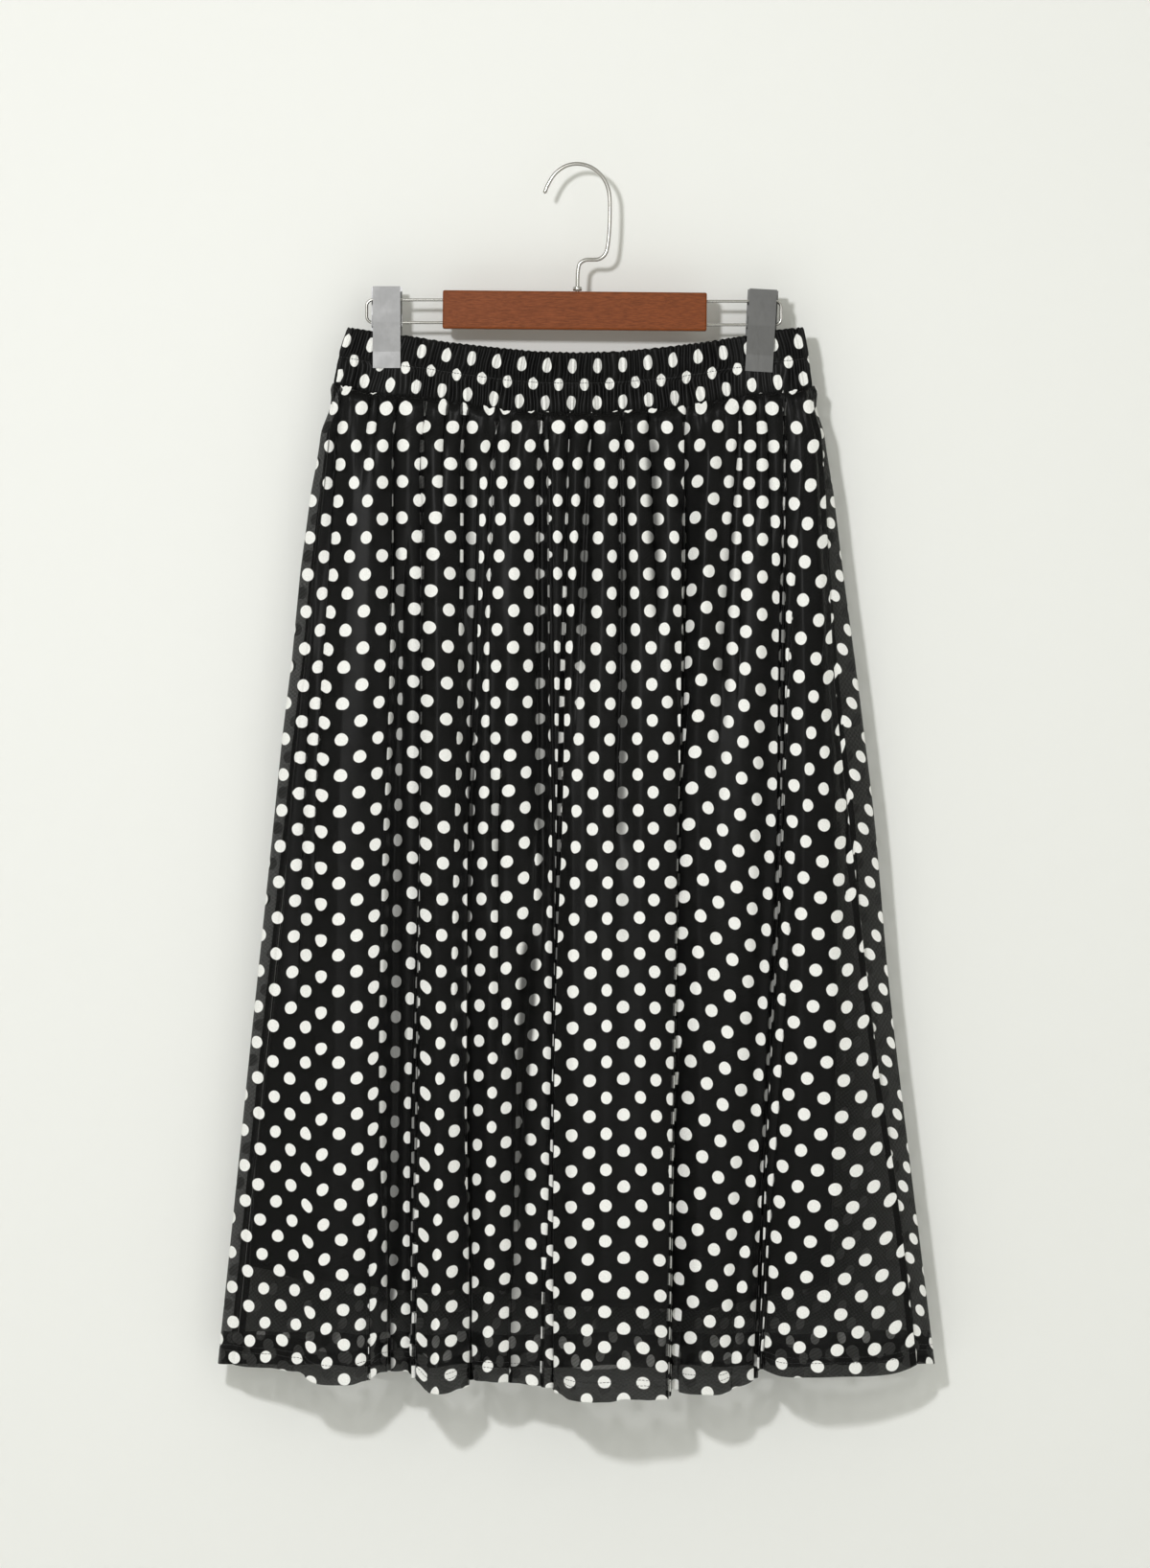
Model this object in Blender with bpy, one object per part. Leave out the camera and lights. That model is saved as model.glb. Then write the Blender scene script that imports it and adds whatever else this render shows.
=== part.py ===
"""A gathered A-line skirt of dotted mesh over a plain lining, hung by its waistband from a clip hanger.

The origin is the inner top of the hook. +Z is up and the front of the skirt faces -Y.
Tables are in millimetres and are turned into metres when a mesh is made.
"""

import math

import bpy
import numpy as np

MM = 0.001
GAP = 0.3
SEAM_GAP = 0.45

# Waistband
GATHERS = 140
BAND_WALL = 4.0
GATHER_DEPTH = 0.75
STITCH_DIP = 0.9
EDGE_ROUND = 1.3
# Rows of the band from its top edge to its seam: share of its height, inset, gather depth share
BAND_ROWS = (
    (0.00, EDGE_ROUND, 0.35),
    (0.06, 0.25, 0.80),
    (0.46, 0.00, 1.00),
    (0.515, STITCH_DIP, 0.40),
    (0.57, 0.00, 1.00),
    (1.00, 0.20, 0.90),
)
# x, z of the band's top edge, then of the seam under it
BAND_TOP = ((-181, -126.5), (-160, -129.5), (-133, -133), (-103, -138), (-68, -142), (-33, -145.5),
            (0, -146.5), (34, -145.5), (70, -142), (101, -138), (132, -133), (156, -128.5), (178, -126.5))
BAND_SEAM = ((-191, -172), (-176, -175.5), (-158, -180), (-118, -182.5), (-89, -187.5), (-56, -193),
             (-22, -195), (20, -195), (79, -191), (104, -186), (142, -180), (171, -177.6), (185, -174))
# share of the band's height, left side x, right side x
BAND_SIDES = ((0.0, -180.5, 178.0), (0.44, -186.8, 181.9), (0.74, -188.4, 183.2), (1.0, -190.8, 185.0))
# x, half depth of the band: it is pinched flat in each clip
BAND_DEPTH = ((-191, 6.0), (-172, 5.6), (-161, 4.4), (-137, 4.4), (-120, 5.8), (-80, 8.2), (0, 9.6),
              (75, 8.6), (115, 5.8), (130, 4.4), (158, 4.4), (169, 5.6), (185, 6.0))
SEAM_DEPTH_MORE = 1.2
BAND_REACH = (-191.0, 185.0)
# Half depths of the band where its gathers are pinched and where free, and the share left when pinched
PINCHED_DEPTH, FREE_DEPTH = 4.4, 5.4
PINCHED_GATHERS = 0.3
GATHER_OUT = 0.2
RING_STEPS = 900

# Outer skirt: z, left outline x, right outline x, x of the right side seam that has turned to the front
OUTLINE = (
    (-172, -192.0, 186.0, 184.5),
    (-185, -197.3, 189.5, 188.0),
    (-207, -201.0, 193.0, 190.5),
    (-255, -209.3, 201.0, 193.8),
    (-317, -216.8, 208.0, 197.2),
    (-386, -222.8, 216.3, 201.5),
    (-447, -230.3, 223.3, 207.2),
    (-520, -237.8, 232.5, 214.8),
    (-628, -249.0, 244.5, 226.1),
    (-712, -258.0, 254.3, 236.0),
    (-794, -266.3, 263.5, 248.6),
    (-868, -273.6, 272.3, 257.8),
    (-936, -280.5, 280.4, 265.3),
)
HEM_Z = -935.0
# Heights at which the fold tables give x and depth
FOLD_Z = (-200.0, -410.0, -950.0)
# z, depth of the front's valleys, of the back's valleys, and of the skirt's side folds
VALLEYS = ((-172, 9.5, 7.0, 4.6), (-200, 10.5, 8.0, 4.8), (-410, 14.0, 9.0, 5.0), (-700, 18.5, 10.0, 5.2),
           (-965, 22.0, 11.0, 5.4))
SIDE_TAPER = 60.0
OUTER_WALL = 1.3
HEM_WALL = 2.0
# Folds of the front from left to right:
# name, x at the three heights, depth before the valleys at the three heights, drop of the hem
FRONT_FOLDS = (
    ("left_strip", -193.5, -214.0, -271.5, 1, 3, 3, 1),
    ("strip_foot", -190.0, -207.0, -234.0, 1, 4, 6, 4),
    ("strip_step", -185.0, -200.0, -217.5, 4, 9, 14, 7),
    ("left_crest", -172.5, -184.0, -193.0, 6, 13, 24, 17),
    ("left_shoulder", -157.0, -160.5, -166.5, 5, 12, 22, 13),
    ("b_wall", -148.0, -148.5, -153.0, 2, 6, 10, 6),
    ("b_valley", -142.0, -142.5, -145.0, 0, 0, 0, 5),
    ("b_floor", -133.5, -132.0, -133.0, 2, 2, 3, 7),
    ("c_under", -127.0, -124.0, -123.0, 2, 4, 6, 9),
    ("c_edge", -123.0, -126.0, -127.0, 5, 11, 17, 13),
    ("c_crest", -109.5, -108.0, -109.0, 8, 20, 30, 24),
    ("c_shoulder", -96.0, -94.5, -93.0, 5, 14, 20, 20),
    ("d_valley", -88.5, -86.0, -85.0, 0, 2, 3, 13),
    ("d_wall", -79.5, -76.5, -75.0, 4, 6, 7, 12),
    ("d_crest", -67.5, -68.0, -67.0, 7, 12, 14, 13),
    ("d_face", -48.0, -54.0, -55.5, 5, 10, 10, 15),
    ("f_valley", -28.0, -33.0, -42.0, 0, 3, 2, 16),
    ("f_face", -16.5, -22.0, -26.0, 5, 8, 10, 18),
    ("e_under", -7.5, -10.5, -10.0, 3, 6, 8, 20),
    ("e_edge", -4.0, -13.0, -13.5, 4, 11, 18, 24),
    ("e_face", 1.5, -2.0, -1.5, 6, 17, 28, 29),
    ("g_valley", 10.5, 4.0, 7.5, 1, 14, 30, 30),
    ("g_crest", 22.5, 16.5, 18.0, 7, 19, 33, 29),
    ("h_valley", 35.0, 35.0, 36.0, 0, 15, 33, 26),
    ("h_crest", 46.5, 49.5, 51.0, 6, 19, 32, 27),
    ("j_valley", 58.0, 61.5, 61.5, 2, 16, 30, 28),
    ("i_face", 75.0, 71.0, 67.5, 7, 17, 27, 28),
    ("i_edge", 88.0, 79.0, 75.0, 5, 12, 18, 26),
    ("i_under", 90.0, 73.5, 68.0, 1, 4, 5, 20),
    ("i_floor", 95.0, 82.0, 78.0, 2, 4, 7, 20),
    ("k_crest", 103.5, 94.5, 97.5, 6, 13, 21, 24),
    ("k_valley", 116.0, 108.0, 108.0, 1, 10, 17, 24),
    ("l_crest", 131.0, 132.0, 117.0, 5, 13, 14, 21),
    ("l_face", 145.5, 142.5, 122.0, 5, 11, 7, 18),
    ("m_wall", 154.5, 151.0, 127.5, 2, 5, 2, 13),
    ("m_valley", 159.0, 157.0, 137.0, 0, 0, 0, 5),
    ("m_under", 163.0, 164.0, 150.0, 1, 3, 4, 4),
    ("m_edge", 165.0, 163.0, 148.0, 4, 9, 13, 6),
    ("right_crest", 173.0, 177.0, 165.0, 6, 14, 21, 11),
    ("right_face", 180.0, 195.0, 202.5, 4, 11, 17, 10),
)
# Folds of the back from left to right, as the front's, but lying flat towards the wall
BACK_FOLDS = (
    ("n_valley", -176.0, -196.0, -250.0, 0, 1, 1, 2),
    ("n_crest", -164.0, -182.0, -226.0, 5, 7, 7, 4),
    ("o_valley", -148.0, -160.0, -203.0, 0, 1, 1, 3),
    ("o_crest", -124.0, -140.0, -172.0, 6, 8, 9, 5),
    ("p_valley", -106.0, -120.0, -146.0, 0, 2, 1, 3),
    ("p_crest", -86.0, -98.0, -116.0, 5, 7, 9, 5),
    ("q_valley", -68.0, -78.0, -90.0, 0, 1, 2, 3),
    ("q_crest", -46.0, -53.0, -60.0, 6, 9, 8, 6),
    ("r_valley", -27.0, -31.0, -34.0, 0, 1, 0, 4),
    ("r_crest", -4.0, -5.0, -4.0, 6, 8, 10, 6),
    ("t_valley", 18.0, 21.0, 26.0, 0, 2, 1, 3),
    ("t_crest", 38.0, 45.0, 54.0, 5, 7, 9, 6),
    ("u_valley", 58.0, 68.0, 84.0, 0, 1, 2, 3),
    ("u_crest", 80.0, 92.0, 112.0, 6, 8, 8, 5),
    ("v_valley", 99.0, 114.0, 141.0, 0, 1, 1, 3),
    ("v_crest", 120.0, 137.0, 168.0, 5, 8, 9, 5),
    ("w_valley", 140.0, 158.0, 197.0, 0, 1, 1, 3),
    ("w_crest", 158.0, 180.0, 224.0, 5, 7, 7, 4),
    ("x_valley", 172.0, 195.0, 248.0, 0, 1, 1, 2),
)
# Share of the way from the band to the hem
SKIRT_LEVELS = (0.0, 0.012, 0.04, 0.09, 0.17, 0.28, 0.41, 0.55, 0.70, 0.85, 0.965, 1.0)
GATHERED_SHARE = 0.05
HEM_SHARE = 0.96
COLUMN_STEP = 9.0
# How far a fold has drawn in at the band, and the depth over which a panel turns round its side fold there
FOLD_DRAWN_IN = 0.955
PANEL_TURN = 4.0
SIDE_TOP_Z = -172.5
SIDE_DEPTH = 5.0
# Round each side fold: distance in from the outline, depth, drop of the hem. The left seam is the left's last
LEFT_TURN = ((0.0, 0.0, 1.0), (5.0, 5.2, 2.0), (13.0, 6.0, 2.0))
RIGHT_TURN = ((7.0, 5.2, 1.0), (0.0, 0.0, 1.0))
# The right side seam: x at the band, how far it stands before the valleys, how much more at the hem, its drop
SEAM_TOP_X = 184.0
SEAM_BEFORE, SEAM_BEFORE_MORE = 1.0, 2.0
SEAM_DROP = 1.0

# Lining: z, left edge x, right edge x
LINING_SIDES = (
    (-172, -186.0, 180.5),
    (-185, -190.5, 184.0),
    (-214, -196.5, 186.5),
    (-286, -204.0, 190.0),
    (-386, -213.0, 196.0),
    (-480, -222.5, 203.0),
    (-580, -230.0, 204.5),
    (-680, -240.0, 203.5),
    (-780, -252.0, 201.5),
    (-900, -259.0, 197.5),
)
# x, z of the front lining's lower edge
LINING_EDGE = ((-259, -860), (-200, -871), (-115, -882), (-72, -876), (-13, -891), (100, -895), (150, -884),
               (198, -875))
LINING_BACK_Z = -872.0
LINING_WALL = 1.0
LINING_INSET = 2.5
LINING_SIDE_INSET = 5.5
# z, depth of the front lining, of the back lining
LINING_DEPTH = ((-172, 4.5, 3.6), (-895, 15.8, 7.2))
# Depth of a lining at its side seam, and how fast it deepens from there
LINING_SIDE = 2.9
LINING_SLOPE = 0.25
LINING_LEVELS = (0.0, 0.02, 0.08, 0.25, 0.5, 0.75, 1.0)
# Soft waves of a lining: waves across, phase, depth at the waist, depth at the edge
LINING_WAVES = ((5.0, 0.7, 0.2, 0.5), (8.0, 2.1, 0.1, 0.3))
LINING_COLUMNS = 36
# x of a lining's two edges at the band and at its lower edge
LINING_TOP = (-186.0, 180.5)
LINING_FOOT = (-255.0, 198.0)
# The back lining's lower edge rises at its left end: how far, from which x, over what width
LINING_LEFT_RISE = 12.0
LINING_LEFT_X = -259.0
LINING_RISE_WIDTH = 50.0
# How far the columns crowd to the side seams, and the widths over which the waves and the side folds fade
LINING_CROWDED = 0.085
LINING_WAVE_FADE = 30.0
LINING_TURN = 4.0
LINING_LEAST = 0.8
LINING_BAND_TURN = 2.0

# Hanger
HOOK_RADIUS = 1.6
# x, z along the hook's wire from its tip to the bar
HOOK_PATH = ((-25.5, -21.7), (-22.8, -15.0), (-16.6, -5.6), (-8.0, 0.2), (1.5, 1.6), (11.5, -1.2),
             (20.0, -8.6), (24.8, -19.0), (25.8, -37.5), (24.4, -60.5), (22.4, -68.6), (17.5, -72.8),
             (6.5, -73.7), (2.4, -76.3), (1.0, -81.0), (0.4, -98.0), (0.4, -108.0))
SHANK_X = 0.4
COLLAR_RADIUS = 3.6
COLLAR_HOLE = 1.95
COLLAR_Z = (-94.5, -97.8)
BAR_SIZE = (206.6, 13.0, 30.0)
BAR_CENTRE = (-1.7, 0.0, -113.4)
BAR_TILT = math.radians(0.55)
BAR_EDGE = 1.4
HOLE_DEPTH = 12.0
SHANK_HOLE = 2.1
WIRE_RADIUS = 1.15
WIRE_HOLE = 1.5
LOOP_CORNER = 4.8
# side, x of the loop's outer end, z of its upper and lower wires
LOOPS = (("left", -165.7, -104.8, -122.6), ("right", 161.0, -105.9, -124.3))
WIRE_IN_BAR = 9.0
# side, x of the clip's middle, z of its top, height, tilt, z of its pivot
CLIPS = (
    ("left", -148.9, -94.5, 63.8, 0.0, -122.6),
    ("right", 145.9, -96.8, 64.5, math.radians(3.2), -124.3),
)
CLIP_HALF_WIDTH = 10.75
CLIP_SHEET = 0.9
# Room between the ears of the two jaws, and y of the plate where an ear joins it
JAW_PLAY = 0.35
EAR_ROOT = 7.6
CUTTER_REACH = 16.0
# share of a jaw's height, y of its inner face
JAW = ((0.0, 8.6), (0.22, 7.7), (0.44, 6.9), (0.80, 5.1), (1.0, 4.65))
# An ear's reach above and below its pivot
EAR_ABOVE = 6.0
EAR_BELOW = 3.1
EAR_REACH = 3.2
EAR_HOLE = 2.3
SPRING_RADIUS = 3.2
SPRING_HOLE = 2.0
SPRING_HALF = 8.2

MESH_BLACK = (0.022, 0.022, 0.024)
LINING_BLACK = (0.012, 0.012, 0.013)
WOOD_BROWN = (0.27, 0.075, 0.035)
STEEL = (0.62, 0.61, 0.59)
CLIP_STEEL = (0.42, 0.42, 0.43)


def table(rows, column, at):
    """A column of a table read at places of its first column, which may run either way."""
    data = np.array(rows, float)
    data = data[np.argsort(data[:, 0])]
    return np.interp(at, data[:, 0], data[:, column])


def smooth(t):
    t = np.clip(t, 0.0, 1.0)
    return t * t * (3.0 - 2.0 * t)


def band_half_depth(x, share, inset):
    """Half depth of the flattened ring of the band, with round ends, less an inset."""
    left = table(BAND_SIDES, 1, share) + inset
    right = table(BAND_SIDES, 2, share) - inset
    half = table(BAND_DEPTH, 1, x) + SEAM_DEPTH_MORE * smooth((share - 0.5) * 2.0) - inset
    end = np.minimum(x - left, right - x)
    turn = np.clip((half - end) / half, 0.0, 1.0)
    return half * np.sqrt(1.0 - turn**2)


def band_z(x, share):
    across = np.clip(x, *BAND_REACH)
    return table(BAND_TOP, 1, across) * (1.0 - share) + table(BAND_SEAM, 1, across) * share


def even_points(points, count):
    """count + 1 points at even steps along a line of points."""
    steps = np.linalg.norm(np.diff(points, axis=0), axis=1)
    along = np.concatenate([[0.0], np.cumsum(steps)])
    at = np.linspace(0.0, along[-1], count + 1)
    return np.stack([np.interp(at, along, points[:, i]) for i in range(points.shape[1])], axis=1)


def band_ring(share, inset, count):
    """count points round the band at one height, from its right end along the front, and then the back."""
    left = table(BAND_SIDES, 1, share) + inset
    right = table(BAND_SIDES, 2, share) - inset
    turn = np.linspace(0.0, math.pi, RING_STEPS)
    x = (left + right) / 2 + (right - left) / 2 * np.cos(turn)
    front = np.stack([x, -band_half_depth(x, share, inset)], axis=1)
    front[0, 1] = front[-1, 1] = 0.0
    front = even_points(front, count // 2)
    back = front[::-1] * (1.0, -1.0)
    return np.concatenate([front[:-1], back[:-1]])


def outward(points):
    """Unit normals of a closed flat ring, away from its middle."""
    along = np.roll(points, -1, axis=0) - np.roll(points, 1, axis=0)
    normal = np.stack([-along[:, 1], along[:, 0]], axis=1)
    return normal / np.linalg.norm(normal, axis=1)[:, None]


def add_mesh(name, points, faces, colour, rough, metal, smooth_angle=None):
    """One closed object from points in millimetres, its faces turned outwards."""
    points = np.asarray(points, float)
    volume = 0.0
    for face in faces:
        corner = points[face[0]]
        for a, b in zip(face[1:-1], face[2:]):
            volume += np.dot(corner, np.cross(points[a], points[b]))
    if volume < 0:
        faces = [tuple(reversed(face)) for face in faces]
    mesh = bpy.data.meshes.new(name)
    mesh.from_pydata((points * MM).tolist(), [], [tuple(int(i) for i in face) for face in faces])
    mesh.update()
    obj = bpy.data.objects.new(name, mesh)
    bpy.context.scene.collection.objects.link(obj)
    material = bpy.data.materials.new(name)
    material.use_nodes = True
    shader = material.node_tree.nodes["Principled BSDF"]
    shader.inputs["Base Color"].default_value = (*colour, 1.0)
    shader.inputs["Roughness"].default_value = rough
    shader.inputs["Metallic"].default_value = metal
    mesh.materials.append(material)
    mesh.shade_smooth()
    if smooth_angle is not None:
        mesh.set_sharp_from_angle(angle=math.radians(smooth_angle))
    return obj


def make_waistband():
    """A ring of gathers outside a plain inner face, open below for the skirt and the lining."""
    outer_count = 2 * GATHERS
    inner_count = GATHERS
    points = []
    index = np.arange(outer_count)
    crest = np.where(index % 2 == 0, 1.0, -1.0)
    uneven = 0.8 + 0.2 * np.sin(index * 1.7) + 0.15 * np.sin(index * 0.43 + 1.0)
    for share, inset, gather in BAND_ROWS:
        ring = band_ring(share, inset, outer_count)
        half = table(BAND_DEPTH, 1, ring[:, 0])
        flat = np.interp(half, (PINCHED_DEPTH, FREE_DEPTH), (PINCHED_GATHERS, 1.0))
        depth = GATHER_DEPTH * gather * uneven * flat * crest - GATHER_DEPTH * gather * 0.5
        ring = ring + outward(ring) * np.minimum(depth, GATHER_OUT)[:, None]
        points.append(np.column_stack([ring, band_z(ring[:, 0], share)]))
    for share in (1.0, 0.0):
        ring = band_ring(share, BAND_WALL, inner_count)
        points.append(np.column_stack([ring, band_z(ring[:, 0], share)]))
    faces = []
    rows = len(BAND_ROWS)
    for row in range(rows - 1):
        for i in range(outer_count):
            j = (i + 1) % outer_count
            a, b = row * outer_count, (row + 1) * outer_count
            faces.append((a + i, a + j, b + j, b + i))
    low, high = rows * outer_count, rows * outer_count + inner_count
    for i in range(inner_count):
        j = (i + 1) % inner_count
        faces.append((low + i, low + j, high + j, high + i))
        for outer, inner, flip in (((rows - 1) * outer_count, low, False), (0, high, True)):
            first, middle, last = outer + 2 * i, outer + 2 * i + 1, outer + (2 * i + 2) % outer_count
            corners = ((inner + i, first, middle), (inner + i, middle, inner + j), (inner + j, middle, last))
            for face in corners:
                faces.append(face[::-1] if flip else face)
    return add_mesh("waistband", np.concatenate(points), faces, MESH_BLACK, 0.8, 0.0, 70)


def through_heights(values, z):
    """A fold's column at any height: a smooth line through its three given values."""
    z0, z1, z2 = FOLD_Z
    v0, v1, v2 = values
    upper = (v1 - v0) / (z1 - z0)
    lower = (v2 - v1) / (z2 - z1)
    middle = 0.0 if upper * lower <= 0 else 2 * upper * lower / (upper + lower)
    z = np.clip(z, min(FOLD_Z), max(FOLD_Z))
    result = np.empty_like(z)
    for za, zb, va, vb, ma, mb in ((z0, z1, v0, v1, upper, middle), (z1, z2, v1, v2, middle, lower)):
        inside = (z <= za + 1e-9) & (z >= zb - 1e-9)
        t = (z[inside] - za) / (zb - za)
        step = zb - za
        h00, h10 = 2 * t**3 - 3 * t**2 + 1, t**3 - 2 * t**2 + t
        h01, h11 = -2 * t**3 + 3 * t**2, t**3 - t**2
        result[inside] = h00 * va + h10 * step * ma + h01 * vb + h11 * step * mb
    return result


def valley_depth(x, z, column):
    """Depth of the cloth's valleys on one side of the garment, falling to the side fold's at each outline."""
    left, right = table(OUTLINE, 1, z), table(OUTLINE, 2, z)
    inside = np.minimum(x - left, right - x)
    side = table(VALLEYS, 3, z)
    full = table(VALLEYS, column, z)
    return side + (full - side) * smooth(inside / SIDE_TAPER)


def seam_z(x):
    return table(BAND_SEAM, 1, np.clip(x, *BAND_REACH)) - SEAM_GAP


def fold_points(levels, folds, column, sign, hem):
    """Points (level, fold, xyz) of one side's folds; sign is -1 on the front."""
    share = np.array(levels)
    found = []
    for name, x0, x1, x2, d0, d1, d2, drop in folds:
        top = seam_z(np.array([x0 * FOLD_DRAWN_IN]))[0]
        z = top + (hem - drop - top) * share
        x = through_heights((x0, x1, x2), z)
        depth = through_heights((d0, d1, d2), z)
        y = sign * (valley_depth(x, z, column) + depth)
        found.append(np.column_stack([x, y, z]))
    return np.stack(found, axis=1)


def side_points(levels, offsets, hem, left):
    """Points (level, point, xyz) round a side fold, from rows of x in from the outline and y."""
    share = np.array(levels)
    found = []
    for inward, y, drop in offsets:
        top = SIDE_TOP_Z - SEAM_GAP
        z = top + (hem - drop - top) * share
        edge = table(OUTLINE, 1 if left else 2, z)
        x = edge + inward if left else edge - inward
        found.append(np.column_stack([x, np.full_like(x, y) * table(VALLEYS, 3, z) / SIDE_DEPTH, z]))
    return np.stack(found, axis=1)


def through(points, parts, closed=False):
    """A smooth line through points of shape (count, 3), cut into parts[i] steps between each pair."""
    if closed:
        ends = np.concatenate([points[-1:], points, points[:2]])
    else:
        ends = np.concatenate([[2 * points[0] - points[1]], points, [2 * points[-1] - points[-2]]])
    gaps = np.linalg.norm(np.diff(ends, axis=0), axis=1) ** 0.5
    knots = np.concatenate([[0.0], np.cumsum(np.maximum(gaps, 1e-6))])
    line = []
    for i, count in enumerate(parts):
        t0, t1, t2, t3 = knots[i : i + 4]
        p0, p1, p2, p3 = ends[i : i + 4]
        for t in t1 + (t2 - t1) * np.arange(count) / count:
            a1 = (t1 - t) / (t1 - t0) * p0 + (t - t0) / (t1 - t0) * p1
            a2 = (t2 - t) / (t2 - t1) * p1 + (t - t1) / (t2 - t1) * p2
            a3 = (t3 - t) / (t3 - t2) * p2 + (t - t2) / (t3 - t2) * p3
            b1 = (t2 - t) / (t2 - t0) * a1 + (t - t0) / (t2 - t0) * a2
            b2 = (t3 - t) / (t3 - t1) * a2 + (t - t1) / (t3 - t1) * a3
            line.append((t2 - t) / (t2 - t1) * b1 + (t - t1) / (t2 - t1) * b2)
    if not closed:
        line.append(points[-1])
    return np.array(line)


def inward_offset(line, wall, closed=False):
    """The line moved to the inside of the garment by the wall; lines run clockwise seen from above."""
    if closed:
        along = np.roll(line[:, :2], -1, axis=0) - np.roll(line[:, :2], 1, axis=0)
    else:
        along = np.gradient(line[:, :2], axis=0)
    normal = np.stack([along[:, 1], -along[:, 0]], axis=1)
    normal /= np.linalg.norm(normal, axis=1)[:, None]
    moved = line.copy()
    moved[:, :2] += normal * wall
    return moved


def shell(name, outer, inner, colour, rough):
    """A closed wall between two grids of points of the same shape (levels, columns, 3)."""
    levels, columns = outer.shape[:2]
    points = np.concatenate([outer.reshape(-1, 3), inner.reshape(-1, 3)])
    half = levels * columns
    faces = []
    for i in range(levels - 1):
        for j in range(columns - 1):
            a, b = i * columns + j, (i + 1) * columns + j
            faces.append((a, a + 1, b + 1, b))
            faces.append((half + a, half + b, half + b + 1, half + a + 1))
    for j in range(columns - 1):
        a, b = j, (levels - 1) * columns + j
        faces.append((a, half + a, half + a + 1, a + 1))
        faces.append((b, b + 1, half + b + 1, half + b))
    for i in range(levels - 1):
        a, b = i * columns, i * columns + columns - 1
        faces.append((a, a + columns, half + a + columns, half + a))
        faces.append((b, half + b, half + b + columns, b + columns))
    return add_mesh(name, points, faces, colour, rough, 0.0, 60)


def blend_to_band(lines, inset, levels, left_edge, right_edge, turn_depth, side_inset):
    """Draws the top rows of a panel in to the band that they are gathered into."""
    band_left = table(BAND_SIDES, 1, 1.0) + side_inset
    band_right = table(BAND_SIDES, 2, 1.0) - side_inset
    first = lines[0]
    across = np.clip((first[:, 0] - left_edge) / (right_edge - left_edge), 0.0, 1.0)
    x = band_left + (band_right - band_left) * across
    side = np.clip(first[:, 1] / turn_depth, -1.0, 1.0)
    top = np.column_stack([x, band_half_depth(x, 1.0, inset) * side, seam_z(x)])
    result = []
    for line, share in zip(lines, levels):
        weight = smooth(share / GATHERED_SHARE)
        held = top.copy()
        held[:, 2] += line[:, 2] - first[:, 2]
        result.append(held * (1 - weight) + line * weight)
    return result


def parted(grid, start, stop):
    """Columns start to stop of a closed grid, its two edges drawn in by half a seam's gap."""
    found = np.concatenate([grid, grid[:, :1]], axis=1)[:, start : stop + 1].copy()
    for edge, next_one in ((0, 1), (-1, -2)):
        along = found[:, next_one] - found[:, edge]
        length = np.linalg.norm(along, axis=1)[:, None]
        found[:, edge] += along / length * GAP / 2
    return found


def right_seam_points(levels):
    share = np.array(levels)
    top = seam_z(np.array([SEAM_TOP_X]))[0]
    z = top + (HEM_Z - SEAM_DROP - top) * share
    x = table(OUTLINE, 3, z)
    before = SEAM_BEFORE + SEAM_BEFORE_MORE * share
    return np.column_stack([x, -(valley_depth(x, z, 1) + before), z])[:, None]


def make_skirt():
    """One closed line round the skirt at each height, parted at its two side seams into front and back."""
    levels = SKIRT_LEVELS
    seam = right_seam_points(levels)
    front = fold_points(levels, FRONT_FOLDS, 1, -1.0, HEM_Z)[:, ::-1]
    left = side_points(levels, LEFT_TURN, HEM_Z, True)
    back = fold_points(levels, BACK_FOLDS, 2, 1.0, HEM_Z)
    right = side_points(levels, RIGHT_TURN, HEM_Z, False)
    points = np.concatenate([seam, front, left, back, right], axis=1)
    parts = steps_between(points)
    left_seam = sum(parts[: front.shape[1] + left.shape[1]])
    lines = [through(section, parts, closed=True) for section in points]
    lines = blend_to_band(lines, GAP, levels, lines[0][:, 0].min(), lines[0][:, 0].max(), PANEL_TURN, GAP)
    walls = [HEM_WALL if share > HEM_SHARE else OUTER_WALL for share in levels]
    outer = np.array(lines)
    inner = np.array([inward_offset(line, wall, closed=True) for line, wall in zip(lines, walls)])
    last = outer.shape[1]
    for name, start, stop in (("skirt_front", 0, left_seam), ("skirt_back", left_seam, last)):
        shell(name, parted(outer, start, stop), parted(inner, start, stop), MESH_BLACK, 0.75)


def steps_between(points):
    """How many steps each pair of folds needs, from its widest gap; the last pair closes the line."""
    closed = np.concatenate([points, points[:, :1]], axis=1)
    widths = np.linalg.norm(np.diff(closed, axis=1), axis=2).max(axis=0)
    return [int(np.clip(round(width / COLUMN_STEP), 1, 3)) for width in widths]


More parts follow.
